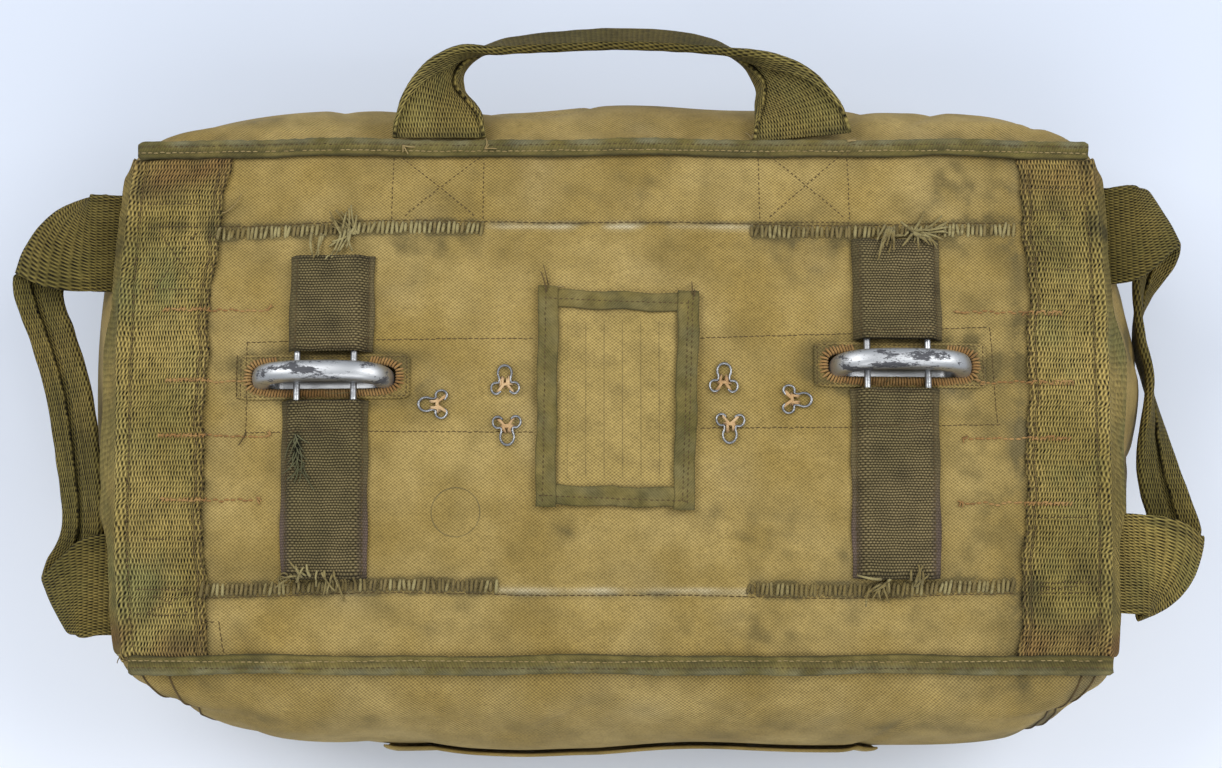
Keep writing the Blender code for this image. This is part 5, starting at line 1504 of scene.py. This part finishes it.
# Rust-coloured tacks that run from the webbing on to the panel.
for start, end in (((-0.1988, 0.0430), (-0.1520, 0.0420)), ((-0.1965, 0.0112), (-0.1607, 0.0105)),
                   ((-0.1993, -0.0132), (-0.1499, -0.0138)), ((-0.1984, -0.0413), (-0.1545, -0.0418)),
                   ((0.1526, 0.0411), (0.2016, 0.0421)), ((0.1607, 0.0100), (0.2024, 0.0108)),
                   ((0.1527, -0.0147), (0.2017, -0.0141)), ((0.1507, -0.0431), (0.1999, -0.0427))):
    sew(rust_thread, (start, end), 0.0026, 0.94, 0.00050, 0.00030)
    end_x = max(start[0], end[0]) if start[0] < 0 else min(start[0], end[0])
    for _ in range(3):
        stray(rust_thread, end_x + needle.normal(0, 0.0006), start[1] + needle.normal(0, 0.0004),
              needle.uniform(0, 360), 0.0022, 0.0006, needle.normal(0, 0.8), 0.00042, 5)
    outer = start[0] if start[0] < 0 else end[0] - 0.020
    for knot in np.linspace(outer, outer + 0.020, 12)[needle.random(12) > 0.2]:
        tip = np.linspace(-1, 1, 4)
        slant = needle.normal(0.0004, 0.0003)
        rust_thread.lay(seat(knot + slant * tip, start[1] + 0.0009 * tip, 0.0004), 0.00036)


# ---------------------------------------------------------------- loose ends and frays
# The hand-sewn ends are cut short and have frayed, and a few threads have pulled out.

# Frayed knots: where each is, its number of ends, their least and greatest length and headings.
for knot_x, knot_y, count, shortest, longest, headings in (
        (-0.1168, 0.0767, 10, 0.009, 0.0165, (45, 140)), (-0.1180, 0.0767, 7, 0.007, 0.0150, (215, 290)),
        (-0.1300, 0.0765, 4, 0.009, 0.0140, (250, 285)),
        (0.1365, 0.0781, 18, 0.006, 0.0125, (-60, 60)), (0.1230, 0.0790, 9, 0.008, 0.0130, (235, 265)),
        (0.1330, 0.0770, 8, 0.004, 0.0085, (150, 250)),
        (-0.1355, -0.0742, 7, 0.005, 0.0100, (40, 300)), (-0.1230, -0.0735, 6, 0.006, 0.0110, (225, 290)),
        (0.1176, -0.0772, 12, 0.005, 0.0110, (180, 300)), (0.1300, -0.0775, 6, 0.004, 0.0090, (60, 120))):
    for _ in range(count):
        stray(olive_thread, knot_x + needle.normal(0, 0.0022), knot_y + needle.normal(0, 0.0010),
              needle.uniform(*headings), needle.uniform(shortest, longest), needle.uniform(0.0008, 0.0035),
              needle.normal(0, 0.35), needle.uniform(0.00050, 0.00074))
coil = np.linspace(0, 5.2 * math.pi, 60)
coil_radius = 0.0016 + 0.0009 * np.sin(coil * 0.37) + 0.0003 * np.sin(coil * 1.7)
olive_thread.lay(seat(-0.1428 + coil_radius * 1.25 * np.cos(coil), -0.0755 + coil_radius * np.sin(coil),
                      0.0008 + 0.0004 * np.sin(coil * 0.9)), 0.00030)
# Single threads that have pulled out: place, heading, length, rise, curl and radius.
for thread, *loose_end in (
        (tan_thread, -0.1745, 0.0868, 18, 0.0125, 0.0014, 0.9, 0.00034),
        (brown_thread, -0.0292, 0.0492, 98, 0.0095, 0.0020, 0.25, 0.00036),
        (brown_thread, -0.0282, 0.0508, 100, 0.0110, 0.0016, 0.10, 0.00030),
        (tan_thread, -0.0275, 0.0520, -12, 0.0060, 0.0012, 0.3, 0.00034),
        (brown_thread, 0.0345, 0.0478, 84, 0.0060, 0.0016, 0.2, 0.00034),
        (brown_thread, 0.0352, 0.0470, 60, 0.0030, 0.0016, 0.8, 0.00040),
        (brown_thread, -0.1610, -0.0125, 255, 0.0060, 0.0010, -0.5, 0.00040),
        (olive_thread, -0.1110, 0.0060, 200, 0.0150, 0.0016, -0.5, 0.00016),
        (olive_thread, 0.1180, 0.0090, 40, 0.0080, 0.0030, -0.3, 0.00016)):
    stray(thread, *loose_end)
for tear_x, tear_y in ((-0.1385, -0.0150), (-0.1365, -0.0200), (-0.1375, -0.0235), (-0.1355, -0.0270)):
    for _ in range(6):
        stray(green_thread, tear_x + needle.normal(0, 0.0010), tear_y + needle.normal(0, 0.0016),
              needle.uniform(225, 315), needle.uniform(0.004, 0.010), needle.uniform(0.0004, 0.0014),
              needle.normal(0, 0.6), 0.00030)
for tack_x, tack_y, heading in ((-0.0943, 0.1178, 305), (-0.0576, 0.1160, 20), (0.0627, 0.1222, 75),
                                (0.1053, 0.1200, 20)):
    for turn in (0, 25, -20):
        stray(tan_thread, tack_x, tack_y, heading + turn, needle.uniform(0.003, 0.0065), 0.0010,
              needle.normal(0, 0.5), 0.00040)
for corners in (((-0.1719, -0.0938), (-0.1708, -0.1000), (-0.1695, -0.1085)),
                ((-0.1781, -0.0938), (-0.1728, -0.0943))):
    sew(brown_thread, corners, 0.0024, 0.92, 0.00024)
stray(olive_thread, -0.2150, -0.1085, 165, 0.0070, 0.0016, 1.6, 0.00036)


# ---------------------------------------------------------------- tacks of the wire eyes
# Four or five turns of tan thread hold each eye, over the neck of its loop and over both curls.

reach = np.linspace(0, 1, 6)
for eye_x, eye_y, turn in EYE_PLACES:
    angle = math.radians(turn)
    # Each bundle: where its turns start and end, across and along the eye, and how many there are.
    for (from_x, from_y), (to_x, to_y), turns in (((-0.0010, 0.0008), (-0.0012, -0.0022), 3),
                                                  ((0.0010, 0.0008), (0.0012, -0.0022), 3),
                                                  ((-0.0002, -0.0012), (-0.0030, -0.0046), 3),
                                                  ((0.0002, -0.0012), (0.0030, -0.0046), 3),
                                                  ((-0.0022, -0.0016), (0.0022, -0.0014), 3)):
        for _ in range(turns):
            jitter = needle.normal(0, 0.00035, 4)
            local_x = 1.2 * ((from_x + jitter[0]) * (1 - reach) + (to_x + jitter[1]) * reach)
            local_y = 1.2 * ((from_y + jitter[2]) * (1 - reach) + (to_y + jitter[3]) * reach)
            x = eye_x + local_x * math.cos(angle) - local_y * math.sin(angle)
            y = eye_y + local_x * math.sin(angle) + local_y * math.cos(angle)
            lift = 0.0004 + 0.0017 * np.sin(reach * math.pi) ** 0.6
            pale_thread.lay(seat(x, y, lift), 0.00042)

# The corner seams of the sides are sewn over with brown thread.
for start, end, _ in CORNER_SEAMS:
    line = corner_seam(start, end)
    line[:, 1] -= 0.0003
    brown_thread.lay(line, 0.00042)

for thread in (green_thread, pale_thread, brown_thread, tan_thread, olive_thread, dull_thread, rust_thread):
    thread.sew_in()
